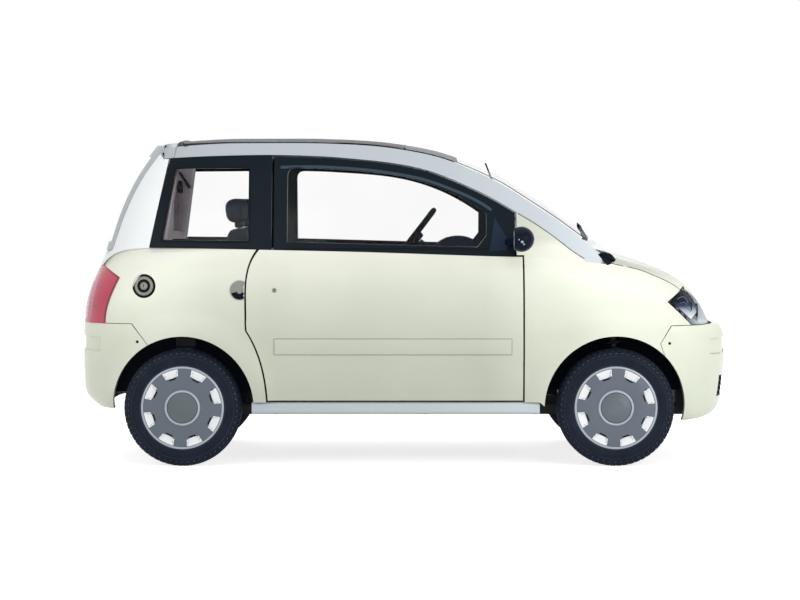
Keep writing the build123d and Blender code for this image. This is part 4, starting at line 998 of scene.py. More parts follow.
def tail_lamp_parts():
    lamps = surface_of("tail_lamps")
    for side, hand in HANDS:
        seen = outside(lamps, side)
        border = [(-1.3585, 0.886), (-1.2885, 0.8405), (-1.3205, 0.770), (-1.3445, 0.700), (-1.3525, 0.640)]
        add(f"tail_lamp_border_{hand}",
            [bead(border[1:], 0.007, 0.0016, seen, 8), bead(border[:2], 0.006, 0.0014, seen, 6)],
            "maroon", "body", 35)
        # painted highlights: pink streaks down the lens
        streaks = [bead([(-1.412, 0.868), (-1.424, 0.800), (-1.437, 0.735), (-1.4430, 0.660)], 0.0035,
                        0.0010, seen, 8),
                   bead([(-1.386, 0.862), (-1.401, 0.800), (-1.416, 0.735), (-1.424, 0.660)], 0.0022,
                        0.0008, seen, 8)]
        add(f"tail_lamp_streaks_{hand}", streaks, "pink", "body", 35)
        rear = behind(lamps)
        divisions = [bead([(side * 0.37, z), (side * 0.44, z), (side * 0.53, z - 0.002)], 0.0035, 0.0010,
                          rear, 6) for z in (0.712, 0.796)]
        add(f"tail_lamp_ribs_{hand}", divisions, "maroon", "body", 35)
        for kind, z in (("reverse", 0.672), ("indicator", 0.840)):
            disc = [0.0006, 0.008, 0.016, 0.0205, 0.0225]
            heights = [0.0022, 0.0020, 0.0014, 0.0008, 0.0]
            rows = rings(side * 0.415, z, disc, squeeze=1.5)
            add(f"tail_lamp_{kind}_{hand}", [laid(rows, rear, heights, closed=True)], "pink", "body", 40)


# ------------------------------------------------------------------- body side details
def screw(tree_cast, a, b, radius=0.0065):
    """A countersunk cross-head screw on a surface."""
    heights = [0.0004, 0.0004, 0.0016, 0.0018, 0.0004]
    disc = [0.0004, radius * 0.3, radius * 0.42, radius * 0.85, radius]
    return laid(rings(a, b, disc, 20), tree_cast, heights, closed=True)


HANDLE_X, HANDLE_Z = -0.738, 0.786
DOOR_EDGE_X, DOOR_EDGE_X_LOW = -0.7150, -0.7155


def handle_arcs(radii, angles, edge=DOOR_EDGE_X, drop=0.0):
    """Arcs about the handle's middle, cut off where the door's edge is."""
    return [[(min(HANDLE_X + r * math.cos(t), edge), HANDLE_Z - drop + r * math.sin(t))
             for t in angles] for r in radii]


def side_details():
    """Rub strips, locks, handle cups, joints, bumper screws and the fuel cap's rings."""
    wings = surface_of("rear_wings")
    bumpers = surface_of("front_bumper", "rear_bumper")
    caps = surface_of("fuel_cap")
    for side, hand in HANDS:
        panel = outside(surface_of(f"door_{hand}_panel"), side)
        door = f"door_{hand}"
        # the rub strip, a low moulding in the body colour with a dark joint round it
        x0, x1, z0, z1 = -0.583, 0.473, 0.500, 0.570
        across_z = [0.0, 0.012, 0.06, 0.5, 0.94, 0.988, 1.0]
        across_x = [0.0, 0.0010, 0.005] + [k / 28 for k in range(1, 28)] + [0.995, 0.9990, 1.0]
        rows = patch(x0, x1, z0, z1, across_x, across_z)
        add(f"rub_strip_{hand}", [laid(rows, panel,
                                       [0.0008, 0.0034, 0.0045, 0.0052, 0.0045, 0.0034, 0.0008])],
            "body_paint", door, 30)
        joint = [(x0, z0), (x1, z0), (x1, z1), (x0, z1), (x0, z0)]
        lines = [laid(stripe(points, 0.0030, 1), panel, 0.0006) for points in sides_of(joint, 24)]
        add(f"rub_strip_joint_{hand}", lines, "dark_trim", door, 35)
        # the lock barrel
        lock = [laid(rings(-0.583, 0.7865, [0.0004, 0.004, 0.0075, 0.0095, 0.0105], 28), panel,
                     [0.0012, 0.0012, 0.0030, 0.0030, 0.0004], closed=True)]
        add(f"door_lock_{hand}", lock, "cap_ring", door, 40)
        slot_rows = [[(-0.583 + a, 0.7865 + b) for a in (-0.0012, 0.0012)] for b in (-0.0045, 0.0045)]
        add(f"door_lock_slot_{hand}", [laid(slot_rows, panel, 0.0022)], "soft_black", door, 35)
        # the handle: a grey cup behind the door's edge, with painted shadow over its lower half
        wing = outside(wings, side)
        cup_rows = handle_arcs((0.0006, 0.018, 0.036, 0.0425), circle(48))
        add(f"handle_cup_{hand}", [laid(cup_rows, wing, [0.0012, 0.0012, 0.0014, 0.0018], closed=True)],
            "cup", "body", 30)
        lower = [1.08 * math.pi + 0.84 * math.pi * k / 24 for k in range(25)]
        low_rows = handle_arcs((0.012, 0.024, 0.0375), lower, DOOR_EDGE_X_LOW, 0.003)
        add(f"handle_cup_shadow_{hand}", [laid(low_rows, wing, 0.0022)], "soft_black", "body", 30)
        lip_rows = handle_arcs((0.0425, 0.0445, 0.0470), circle(48))
        add(f"handle_rim_{hand}", [laid(lip_rows, wing, [0.0016, 0.0024, 0.0006], closed=True)],
            "silver_paint", "body", 30)
        # the dark joint under the rail, from the door's frame to the scuttle
        rail = outside(surface_of("roof_rails", "front_wings"), side)
        under = [(0.504, 1.128), (0.586, 1.0785), (0.671, 1.0188), (0.741, 0.964), (0.800, 0.926)]
        add(f"rail_joint_{hand}", [bead(under, 0.0042, 0.0012, rail, 8)],
            "cap_grey", "body", 35)
        # bumper screws
        ends = outside(bumpers, side)
        add(f"bumper_screws_{hand}", [screw(ends, 1.184, 0.546), screw(ends, -1.196, 0.556)],
            "soft_black", "body", 40)
        for name, points in (("front_bumper_groove", [(1.385, 0.5605), (1.41, 0.5605), (1.44, 0.5608)]),
                             ("front_bumper_groove_low",
                              [(1.385, 0.4895), (1.41, 0.4895), (1.44, 0.4895)])):
            add(f"{name}_{hand}", [laid(stripe(points, 0.0022, 5), ends, 0.0006)], "dark_trim", "body", 35)
    cap = outside(caps, RIGHT)
    middle = (-1.168, 0.804)
    dark = [laid(rings(*middle, [0.0430, 0.0455, 0.0500, 0.0515], 44), cap,
                 [0.0016, 0.0030, 0.0026, 0.0010], closed=True),
            laid(rings(*middle, [0.0175, 0.0200, 0.0270, 0.0300], 44), cap,
                 [0.0030, 0.0046, 0.0046, 0.0030], closed=True)]
    bright = [laid(rings(*middle, [0.0292, 0.0310, 0.0400, 0.0425], 44), cap,
                   [0.0030, 0.0040, 0.0036, 0.0022], closed=True),
              laid(rings(*middle, [0.0004, 0.0060, 0.0150, 0.0172], 44), cap,
                   [0.0052, 0.0054, 0.0050, 0.0034], closed=True)]
    add("fuel_cap_dark_rings", dark, "soft_black", "body", 35)
    add("fuel_cap_metal_rings", bright, "cap_ring", "body", 35)
    key_rows = [[(middle[0] + a, middle[1] + b) for a in (-0.0014, 0.0014)] for b in (-0.007, 0.007)]
    add("fuel_cap_keyhole", [laid(key_rows, cap, 0.0060)], "soft_black", "body", 35)


def window_trim():
    """Rubber seals round the glass and painted highlights along the black frames."""
    low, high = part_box("door_right_glass")
    for side, hand in HANDS:
        frame_surface = outside(surface_of(f"door_{hand}_frame", f"door_{hand}_panel"), side)
        door = f"door_{hand}"
        x0, x1, z0 = low.x, high.x, low.z
        # painted highlight: a light strip on the frame along its curved top and down its front
        top = [(-0.560, 1.352), (-0.400, 1.354), (-0.222, 1.344), (-0.067, 1.326), (0.088, 1.295),
               (0.243, 1.238), (0.335, 1.193), (0.385, 1.160)]
        top = [(x, z - 0.017) for x, z in top]
        add(f"frame_glint_{hand}", [bead(top, 0.0130, 0.0012, frame_surface, 6),
                                    bead([(-0.600, 1.340), (-0.600, 1.010)], 0.008, 0.0014, frame_surface,
                                         18)],
            "glint", door, 35)
        waist = [(x0 - 0.01 + (x1 - x0 + 0.02) * k / 24, z0 - 0.006) for k in range(25)]
        add(f"waist_seal_{hand}", [bead(waist, 0.010, 0.0030, frame_surface, 1)],
            "seal", door, 35)
        band = outside(surface_of("window_pillars"), side)
        ring = [(-1.094, 1.004), (-1.034, 1.334), (-0.696, 1.337), (-0.696, 1.000), (-1.094, 1.004)]
        lines = [bead(points, 0.009, 0.0022, band, 1) for points in sides_of(ring, 14)]
        add(f"side_window_seal_{hand}", lines, "seal", "body", 35)


def shut_gap_seals():
    """Dark seals inside the gaps round the doors."""
    for side, hand in HANDS:
        skin = outside(surface_of("rear_wings", f"door_{hand}_panel", "window_pillars"), side)
        low_path = [(-0.6175, 0.300), (-0.6320, 0.405), (-0.6710, 0.532), (-0.7110, 0.606),
                    (-0.7135, 0.640),
                    (-0.7135, 0.800), (-0.7020, 0.882), (-0.6580, 0.968)]
        lines = []
        for points in (low_path, [(-0.5935, 0.975), (-0.5935, 1.345)]):
            path = []
            for a, b in [(p.x, p.y) for p in eased([(a, b, 0) for a, b in points], 5)]:
                near = min((skin(a + step, b)[0] for step in (-0.012, 0.012)), key=lambda p: abs(p.y))
                path.append(Vector((a, near.y - side * 0.020, b)))
            lines.append(swept(path, flat_section(0.018, 0.016)))
        add(f"door_gap_seal_{hand}", lines, "seal", "body", 40)


def mirror_parts():
    """Rim, glass and highlights of the door mirrors, and the plates that carry them."""
    for side, hand in HANDS:
        centre = Vector((0.478, side * 0.808, 1.015))
        steps = 40
        for name, scale_out, x, look in (("mirror_rim", 1.0, -0.0002, "black_paint"),
                                         ("mirror_glass", 0.93, -0.0012, "mirror_glass")):
            verts = []
            radii = (0.0008, 0.5, 0.85, 1.0) if name == "mirror_glass" else (0.90, 1.0)
            for r in radii:
                for turn in circle(steps):
                    bulge = 0.0012 * (1 - r * r) if name == "mirror_glass" else 0.0
                    verts.append(centre + Vector((x - bulge, 0.0515 * scale_out * r * math.cos(turn),
                                                  0.0435 * scale_out * r * math.sin(turn))))
            for turn in circle(steps):
                verts.append(centre + Vector((0.001, 0.0515 * scale_out * math.cos(turn),
                                              0.0435 * scale_out * math.sin(turn))))
            faces = tube_faces(len(radii) + 1, steps)
            add(f"{name}_{hand}", [(verts, faces)], look, f"door_{hand}", 35)
        shell = outside(surface_of(f"door_{hand}_mirror"), side)
        spots = [laid(rings(x, z, [0.0004, size * 0.7, size], 20, 1.2), shell, [0.0012, 0.0010, 0.0004],
                      closed=True)
                 for x, z, size in ((0.512, 1.004, 0.0055), (0.520, 0.994, 0.0035), (0.498, 1.014, 0.0030))]
        add(f"mirror_highlights_{hand}", spots, "flash", f"door_{hand}", 50)
        frame_surface = outside(surface_of(f"door_{hand}_frame"), side)
        plate = [[(0.376 + 0.070 * u + 0.022 * w,
                   0.962 + (0.150 - 0.115 * u) * w) for w in (0.0, 0.05, 0.3, 0.7, 0.95, 1.0)]
                 for u in (0.0, 0.06, 0.5, 0.94, 1.0)]
        add(f"mirror_plate_{hand}", [laid(plate, frame_surface,
                                          [0.0006, 0.0040, 0.0052, 0.0052, 0.0040, 0.0006])],
            "sail", f"door_{hand}", 35)


# ------------------------------------------------------------------- front and back
def front_and_back():
    nose = ahead(surface_of("front_bumper", "front_grille", "bonnet"))
    tail = behind(surface_of("tailgate_panel", "rear_bumper", "tailgate_frame", "tailgate_glass"))
    plate_rows = patch(-0.20, 0.20, 0.425, 0.530, even(16), even(5))
    add("front_plate", [laid(plate_rows, nose, [0.0014, 0.0018, 0.0018, 0.0018, 0.0018, 0.0014])], "plate",
        "body", 35)
    plate_rows = patch(-0.26, 0.26, 0.712, 0.822, even(20), even(5))
    add("rear_plate", [laid(plate_rows, tail, [0.0014, 0.0022, 0.0022, 0.0022, 0.0022, 0.0014])], "plate",
        "tailgate", 35)
    bolts = [screw(tail, y, 0.767, 0.006) for y in (-0.23, 0.23)]
    add("rear_plate_screws", bolts, "steel", "tailgate", 40)
    add("front_plate_screws", [screw(nose, y, 0.4775, 0.006) for y in (-0.17, 0.17)], "steel", "body", 40)
    # the plate lamp and the tailgate's grip
    grip = patch(-0.10, 0.10, 0.868, 0.898, even(10), (0.0, 0.1, 0.35, 0.65, 0.9, 1.0))
    add("tailgate_grip", [laid(grip, tail, [0.0006, 0.0060, 0.0085, 0.0085, 0.0060, 0.0006])],
        "black_plastic", "tailgate", 35)
    lamp = patch(-0.045, 0.045, 0.846, 0.860, even(6), (0.0, 0.2, 0.8, 1.0))
    add("plate_lamp", [laid(lamp, tail, [0.0006, 0.0038, 0.0038, 0.0006])], "lamp_white", "tailgate", 35)
    latch = [laid(rings(0.0, 0.905, [0.0004, 0.006, 0.0105, 0.0125], 28), tail,
                  [0.002, 0.002, 0.0034, 0.0006], closed=True)]
    add("tailgate_lock", latch, "steel", "tailgate", 35)
    for side, hand in HANDS:
        reflector = patch(side * 0.24, side * 0.34, 0.415, 0.455, even(8), (0.0, 0.12, 0.5, 0.88, 1.0))
        add(f"rear_reflector_{hand}", [laid(reflector, tail, 0.0008)], "lamp_red", "body", 35)
    fog = patch(0.08, 0.18, 0.415, 0.460, even(8), (0.0, 0.12, 0.5, 0.88, 1.0))
    add("rear_fog_lamp", [laid(fog, tail, 0.0008)], "lamp_red", "body", 35)
    # heater lines on the tailgate glass and a groove across the rear step
    lines = []
    for i in range(9):
        z = 1.045 + 0.034 * i
        half = 0.425 - 0.16 * (z - 1.0) * 0.95
        lines.append(laid(stripe([(-half + 2 * half * k / 20, z) for k in range(21)], 0.0012, 1), tail,
                          0.0004))
    add("heater_lines", lines, "maroon", "tailgate", 30)
    seam = [(-0.40 + 0.80 * k / 24, 0.592) for k in range(25)]
    add("rear_step_groove", [laid(stripe(seam, 0.0025, 1), behind(surface_of("rear_bumper")), 0.0006)],
        "dark_trim", "body", 35)


def roof_parts():
    above = bridged(lambda x, y: meet(ROOF, (x, y, 2.2), (0, 0, -1)), 2, 1, 0.009)
    for side, hand in HANDS:
        edge = [(-1.000 + 0.970 * k / 30, side * (0.512 - 0.020 * ((k - 12) / 18) ** 2)) for k in range(31)]
        add(f"roof_groove_{hand}", [bead(edge, 0.006, 0.0018, above, 1)], "seal", "body", 35)
    # the rail colour runs across the back of the roof, and a low lip stands at the panel's end
    cross = patch(-1.090, -1.036, -0.520, 0.520, edged(2, 0.04), even(36))
    add("roof_rear_cross_band", [laid(cross, above, 0.0010)], "silver_paint", "body", 35)
    lip = patch(-1.036, -1.006, -0.47, 0.47, edged(2, 0.15), even(30))
    add("roof_rear_lip", [laid([list(row) for row in zip(*lip)], above,
                               [0.0006, 0.0048, 0.0062, 0.0040, 0.0006])],
        "roof_paint", "body", 35)
    # a dark slanted line closes the end of the rail
    for side, hand in HANDS:
        seen = outside(surface_of("roof_rails", "rear_pillars"), side)
        line = [Vector((x, side * max(side * seen(x + step, z)[0].y for step in (-0.012, 0.012)), z))
                for x, z in ((-1.106, 1.4175), (-1.096, 1.3990), (-1.081, 1.3745), (-1.060, 1.3738),
                             (-1.040, 1.3735))]
        add(f"rail_end_line_{hand}", [swept(line, round_section(0.0034, 8))], "seal", "body", 35)


def windscreen_band():
    """The dark border printed round the windscreen, deep at its top edge."""
    glass = surface_of("windscreen")
    low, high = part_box("windscreen")
    above = lambda x, y: meet(glass, (x, y, 2.2), (0, 0, -1))

    def reach(x):
        y = 0.0
        while glass.ray_cast(Vector((x, y + 0.004, 2.2)), Vector((0, 0, -1)))[0] is not None:
            y += 0.004
        return y

    def strip(x0, x1, inner, outer, steps):
        rows = []
        for k in range(steps + 1):
            x = x0 + (x1 - x0) * k / steps
            edge = reach(x) - 0.004
            rows.append([(x, inner(edge) + (outer(edge) - inner(edge)) * w) for w in edged(20, 0.01)])
        return laid(rows, above, 0.0008)

    x_base = high.x - 0.012
    parts = [strip(low.x + 0.002, 0.236, lambda edge: -edge, lambda edge: edge, 14)]
    for side in (-1, 1):
        parts.append(strip(0.230, x_base - 0.09, lambda edge, s=side: s * (edge - 0.026), lambda edge,
                           s=side: s * edge, 40))
    add("windscreen_band", parts, "band", "body", 35)
    joint = []
    for k in range(41):
        point, _ = above(low.x + 0.004, -0.485 + 0.97 * k / 40)
        joint.append(Vector((low.x - 0.0015, point.y, point.z - 0.0004)))
    add("roof_joint_seal", [swept(joint, flat_section(0.0030, 0.0150))], "band", "body", 40)


def scuttle_ends():
    """Dark covers over the corners where the rails meet the scuttle."""
    covers = []
    for side in (RIGHT, LEFT):
        profile = [(-0.042, 0.0008), (-0.037, 0.009), (-0.024, 0.0175), (-0.008, 0.0220), (0.010, 0.0220),
                   (0.024, 0.0165),
                   (0.034, 0.0090), (0.038, 0.0008)]
        covers.append(turned(profile, Vector((0.902, side * 0.590, 0.9310)), (0.97, 0, -0.24), 24))
    add("scuttle_end_covers", covers, "soft_black", "body", 50)


def wiper_parts():
    """The spindle that the wiper turns on, and its nut."""
    low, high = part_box("wiper")
    spindle = Vector((high.x - 0.013, high.y - 0.012, low.z + 0.004))
    nut = [(0.0, 0.014), (0.010, 0.014), (0.016, 0.011), (0.020, 0.010), (0.021, 0.0004)]
    add("wiper_spindle", [turned(nut, spindle, (0.35, 0, 0.94), 24)], "soft_black", "body", 40)
    add("wiper_nut", [turned([(0.020, 0.0062), (0.0245, 0.0062), (0.0255, 0.0052), (0.0256, 0.0003)],
                             spindle,
                             (0.35, 0, 0.94), 6)], "steel", "body", 20)


# --------------------------------------------------------------------------- interior
def pillow(size, crown, pinch, corner=0.35, cuts=14):
    """A padded block before its simulation: rounded, crowned, with sides that pull in."""
    made = bmesh.new()
    bmesh.ops.create_cube(made, size=2.0)
    bmesh.ops.subdivide_edges(made, edges=made.edges[:], cuts=cuts, use_grid_fill=True)
    half = [s / 2 for s in size]
    for v in made.verts:
        x, y, z = v.co
        # a superellipsoid keeps the faces broad and rounds the corners
        power = 2 / corner
        length = (abs(x) ** power + abs(y) ** power + abs(z) ** power) ** (1 / power)
        x, y, z = x / length, y / length, z / length
        swell = 1 + crown * (1 - x * x) * (1 - y * y)
        pull_x = 1 - pinch * (1 - y * y) * abs(x) ** 3
        pull_y = 1 - pinch * (1 - x * x) * abs(y) ** 3
        v.co = Vector((x * half[0] * pull_x, y * half[1] * pull_y, z * half[2] * swell))
    mesh = bpy.data.meshes.new("pillow")
    made.to_mesh(mesh)
    made.free()
    return mesh


def stuffed(mesh, voxel, limit):
    """Cloth simulation of a stuffed cover: it swells under pressure, at most limit metres."""
    made = bpy.data.objects.new("stuffing", mesh)
    bpy.context.scene.collection.objects.link(made)
    bpy.context.view_layer.objects.active = made
    remesh = made.modifiers.new("remesh", "REMESH")
    remesh.mode, remesh.voxel_size = "VOXEL", voxel
    graph = bpy.context.evaluated_depsgraph_get()
    before = bpy.data.meshes.new_from_object(made.evaluated_get(graph))
    made.modifiers.clear()
    made.data = before
    start = [v.co.copy() for v in before.vertices]
    cloth_modifier = made.modifiers.new("cloth", "CLOTH")
    settings = cloth_modifier.settings
    settings.use_pressure = True
    settings.uniform_pressure_force = 4.0
    settings.quality = 6
    settings.effector_weights.gravity = 0.0
    cloth_modifier.point_cache.frame_start, cloth_modifier.point_cache.frame_end = 1, 20
    scene = bpy.context.scene
    for step in range(1, 21):
        scene.frame_set(step)
    graph = bpy.context.evaluated_depsgraph_get()
    after = bpy.data.meshes.new_from_object(made.evaluated_get(graph))
    for v, origin in zip(after.vertices, start):
        shift = v.co - origin
        if shift.length > limit:
            v.co = origin + shift * (limit / shift.length)
    made.modifiers.clear()
    made.data = after
    scene.frame_set(1)
    mesh = made.data
    bpy.data.objects.remove(made)
    return mesh


def sew(mesh, seams, depth, width):
    """Presses sewn channels into a cover: each seam gives a point's distance from it."""
    mesh.calc_loop_triangles()
    normals = [v.normal.copy() for v in mesh.vertices]
    for v, normal in zip(mesh.vertices, normals):
        pressed = 0.0
        for seam in seams:
            reach = seam(v.co, normal)
            if reach is not None and abs(reach) < width:
                pressed = max(pressed, 0.5 + 0.5 * math.cos(math.pi * reach / width))
        v.co -= normal * depth * pressed
    return mesh


def smoother(mesh):
    made = bpy.data.objects.new("smoother", mesh)
    bpy.context.scene.collection.objects.link(made)
    made.modifiers.new("subdivision", "SUBSURF").levels = 1
    graph = bpy.context.evaluated_depsgraph_get()
    result = bpy.data.meshes.new_from_object(made.evaluated_get(graph))
    bpy.data.objects.remove(made)
    return result


def seat_forms():
    """Cushion, back and headrest covers, each about its own centre: X to the front, Z up."""
    def panel_lines(half_width, lines):
        seams = [lambda p, n: (abs(p.y) - half_width) if n.z > 0.35 else None]
        for x in lines:
            seams.append(lambda p, n, x=x: (p.x - x) if n.z > 0.35 and abs(p.y) < half_width else None)
        return seams

    cushion = stuffed(pillow((0.480, 0.420, 0.112), 0.10, 0.05), 0.006, 0.012)
    for v in cushion.vertices:
        raised = max(0.0, abs(v.co.y) - 0.125) / 0.085
        if v.co.z > 0:
            v.co.z += 0.010 * min(raised, 1.0) - 0.008 * (1 - min(raised, 1.0))
    cushion = smoother(sew(cushion, panel_lines(0.130, (-0.12, -0.03, 0.06, 0.15)), 0.006, 0.009))
    # the back is modelled lying down, with its face up, and its length along X
    back = stuffed(pillow((0.560, 0.400, 0.092), 0.10, 0.05), 0.006, 0.010)
    for v in back.vertices:
        raised = max(0.0, abs(v.co.y) - 0.120) / 0.080
        if v.co.z > 0:
            v.co.z += 0.012 * min(raised, 1.0) - 0.007 * (1 - min(raised, 1.0))
        narrow = max(0.0, v.co.x - 0.08) / 0.2
        v.co.y *= 1 - 0.12 * min(narrow, 1.0)
    back = smoother(sew(back, panel_lines(0.125, (-0.16, -0.08, 0.0, 0.08, 0.16)), 0.006, 0.009))
    rest = stuffed(pillow((0.112, 0.236, 0.088), 0.12, 0.04, 0.62), 0.005, 0.006)
    rest = smoother(sew(rest, [lambda p, n: p.z + 0.012 if abs(n.z) < 0.6 else None], 0.003, 0.006))
    return cushion, back, rest


def placed(source, name, origin, turn, look):
    """A copy of a form, turned about Y by turn radians and moved to origin."""
    mesh = source.copy()
    cosine, sine = math.cos(turn), math.sin(turn)
    for v in mesh.vertices:
        x, y, z = v.co
        v.co = (origin[0] + x * cosine + z * sine, origin[1] + y, origin[2] - x * sine + z * cosine)
    mesh.materials.clear()
    piece = finished(name, mesh, look, "body", 70)
    return piece


SEAT_Y = 0.300


def seats():
    cushion, back, rest = seat_forms()
    lean = math.radians(-12)
    for side, hand in HANDS:
        y = side * SEAT_Y
        pieces = [placed(cushion, f"seat_cushion_{hand}", (-0.432, y, 0.447), math.radians(-2),
                         "seat_cloth"),
                  placed(back, f"seat_back_{hand}", (-0.722, y, 0.802), math.radians(-90) + lean,
                         "seat_cloth"),
                  placed(rest, f"headrest_{hand}", (-0.774, y, 1.140), math.radians(-90) + math.radians(-8),
                         "seat_cloth")]
        for piece in pieces:
            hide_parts("seats")
        shell = [block((-0.430, y, 0.372), (0.400, 0.330, 0.030), 0.010),
                 block((-0.590, y, 0.322), (0.030, 0.300, 0.112), 0.006),
                 block((-0.270, y, 0.322), (0.030, 0.300, 0.112), 0.006)]
        shell += [block((-0.430, y + s * 0.135, 0.274), (0.380, 0.034, 0.018), 0.005) for s in (-1, 1)]
        shell += [block((-0.655, y + s * 0.176, 0.470), (0.075, 0.012, 0.100), 0.005) for s in (-1, 1)]
        add(f"seat_base_{hand}", shell, "dark_trim", "body", 35)
        posts = [swept(eased([(-0.757, y + s * 0.055, 1.045), (-0.765, y + s * 0.055, 1.085),
                              (-0.770, y + s * 0.055, 1.115)], 4),
                       round_section(0.0055)) for s in (-1, 1)]
        add(f"headrest_guide_{hand}", [block((-0.762, y, 1.076), (0.036, 0.140, 0.030), 0.010)],
            "soft_black", "body", 40)
        add(f"headrest_posts_{hand}", posts, "steel", "body", 40)
        knob_axis = (0, side, 0)
        knob = [(0.0, 0.030), (0.008, 0.030), (0.014, 0.026), (0.016, 0.0180), (0.0165, 0.0004)]
        add(f"recliner_knob_{hand}", [turned(knob, (-0.655, y + side * 0.183, 0.470), knob_axis, 28)],
            "black_plastic", "body", 35)


def pillar_inside(side, gap=0.0):
    """Finds (x, z) on the trim over the rear pillar, which leans in towards the top and the back."""
    return lambda x, z: (Vector((x, side * (0.566 - 0.33 * (z - 1.0) - 0.35 * (-1.08 - x) - gap), z)),
                         Vector((0, -side, 0)))


def belts():
    """Upper anchor with its guide, webbing down the pillar, and a buckle by the tunnel."""
    for side, hand in HANDS:
        def hung(x, z, gap):
            return pillar_inside(side, gap)(x, z)[0]

        top = hung(-1.106, 1.262, 0.020)
        anchor = [block(top, (0.046, 0.020, 0.044), 0.006),
                  block(top + Vector((0.012, 0, -0.026)), (0.026, 0.018, 0.026), 0.005)]
        guide = eased([tuple(hung(x, z, 0.022)) for x,
                       z in ((-1.098, 1.326), (-1.074, 1.290), (-1.050, 1.250))], 6)
        anchor.append(swept(guide, round_section(0.007, 10)))
        add(f"belt_anchor_{hand}", anchor, "soft_black", "body", 40)
        route = eased([tuple(hung(x, z, 0.012)) for x,
                       z in ((-1.106, 1.236), (-1.110, 1.150), (-1.116, 1.040))], 6)
        add(f"belt_webbing_{hand}", [swept(route, flat_section(0.003, 0.036))], "mauve_web", "body", 35)
        buckle = [block((-0.600, side * 0.085, 0.505), (0.030, 0.022, 0.085), 0.005, -0.15),
                  block((-0.608, side * 0.085, 0.430), (0.016, 0.010, 0.100), 0.003, -0.15)]
        add(f"belt_buckle_{hand}", buckle, "soft_black", "body", 40)


def rear_trim():
    """Soft trim over the inside of the rear pillars, with a lighter edge by the window."""
    for side, hand in HANDS:
        wall = pillar_inside(side)
        rows, edge = [], []
        for i in range(17):
            z = 1.000 + 0.350 * i / 16
            share = (z - 1.019) / 0.326
            front = -1.068 + 0.049 * share
            back = -1.195 + 0.080 * share
            rows.append([(front + (back - front) * w, z) for w in (0.0, 0.04, 0.2, 0.4, 0.6, 0.8, 1.0)])
            edge.append((front - 0.008, z))
        add(f"pillar_trim_{hand}", [laid(rows, wall, 0.0040, sunk=0.004)], "mauve", "body", 50)
        add(f"pillar_trim_edge_{hand}", [bead(edge, 0.012, 0.0070, wall, 1)],
            "strut_grey", "body", 50)


def dash_parts():
    dash = surface_of("dashboard")
    face = lambda y, z: meet(dash, (-0.3, y, z), (1, 0, 0))
    top = lambda x, y: meet(dash, (x, y, 1.3), (0, 0, -1))
    vents, slats, knobs = [], [], []
    for y in (-0.50, -0.075, 0.075, 0.50):
        rows = rings(y, 0.880, (0.0290, 0.0310, 0.0350, 0.0370))
        vents.append(laid(rows, face, [0.0010, 0.0050, 0.0050, 0.0004], closed=True))
        for i in range(5):
            z = 0.880 + (i - 2) * 0.0115
            half = math.sqrt(max(0.0, 0.0285 ** 2 - (z - 0.880) ** 2))
            slats.append(laid([[(y - half + 2 * half * k / 6,
                                 z + w) for k in range(7)] for w in (-0.0030, 0.0030)], face, 0.0030))
    add("vent_rings", vents, "dark_trim", "body", 35)
    add("vent_slats", slats, "soft_black", "body", 35)
    panel = patch(-0.100, 0.100, 0.742, 0.842, even(8), (0.0, 0.04, 0.5, 0.96, 1.0))
    add("centre_panel", [laid(panel, face, [0.0006, 0.0040, 0.0048, 0.0040, 0.0006])], "dark_trim", "body",
        35)
    for y in (-0.066, 0.0, 0.066):
        front, normal = face(y, 0.770)
        knobs.append(turned([(0.004, 0.018), (0.014, 0.0165), (0.018, 0.0150), (0.020, 0.0110),
                             (0.0205, 0.0003)], front, normal, 28))
    add("heater_knobs", knobs, "soft_black", "body", 35)
    radio = patch(-0.078, 0.078, 0.802, 0.836, even(6), (0.0, 0.1, 0.9, 1.0))
    add("blank_slot_cover", [laid(radio, face, [0.0050, 0.0070, 0.0070, 0.0050])], "gauge", "body", 35)
    glovebox = [(-0.52, 0.758), (-0.16, 0.758), (-0.16, 0.842), (-0.52, 0.842), (-0.52, 0.758)]
    lines = [laid(stripe(points, 0.0026, 1), face, 0.0006) for points in sides_of(glovebox, 10)]
    add("glovebox_joint", lines, "seal", "body", 35)
    # instruments under the hood: a round dial with ticks and a needle
    dial = Vector((0.188, 0.300, 0.962))
    axis = Vector((-0.92, 0, 0.39)).normalized()
    pod = [(-0.020, 0.052), (0.004, 0.052), (0.010, 0.050), (0.010, 0.046), (0.002, 0.044)]
    add("dial_rim", [turned(pod, dial, axis, 40)], "dark_trim", "body", 35)
    add("dial_face", [turned([(0.0015, 0.0445), (0.0020, 0.0300), (0.0022, 0.0004)], dial, axis, 40)],
        "gauge", "body", 40)
    axis, u, v = frame_about(axis)
    ticks = []
    for i in range(19):
        turn = math.radians(-40 + 260 * i / 18)
        spoke = u * math.cos(turn) + v * math.sin(turn)
        flank = axis.cross(spoke)
        inner, wide = (0.034, 0.0008) if i % 3 == 0 else (0.037, 0.0005)
        corners = [dial + axis * 0.0028 + spoke * r + flank * w for r,
                   w in ((inner, -wide), (0.041, -wide), (0.041, wide), (inner, wide))]
        ticks.append((corners, [(0, 1, 2, 3)]))
    spoke = u * math.cos(math.radians(-30)) + v * math.sin(math.radians(-30))
    flank = axis.cross(spoke)
    ticks.append(([dial + axis * 0.0034 + spoke * r + flank * w for r,
                   w in ((-0.008, -0.0014), (0.036, -0.0004), (0.036, 0.0004), (-0.008, 0.0014))],
                  [(0, 1, 2, 3)]))
    add("dial_marks", ticks, "needle", "body", 35)
    demist = [laid(patch(0.640, 0.652, y0, y0 + 0.28, (0.0, 0.3, 0.7, 1.0), even(10)), top, 0.0020)
              for y0 in (-0.48, 0.20)]
    add("demister_slots", demist, "soft_black", "body", 35)


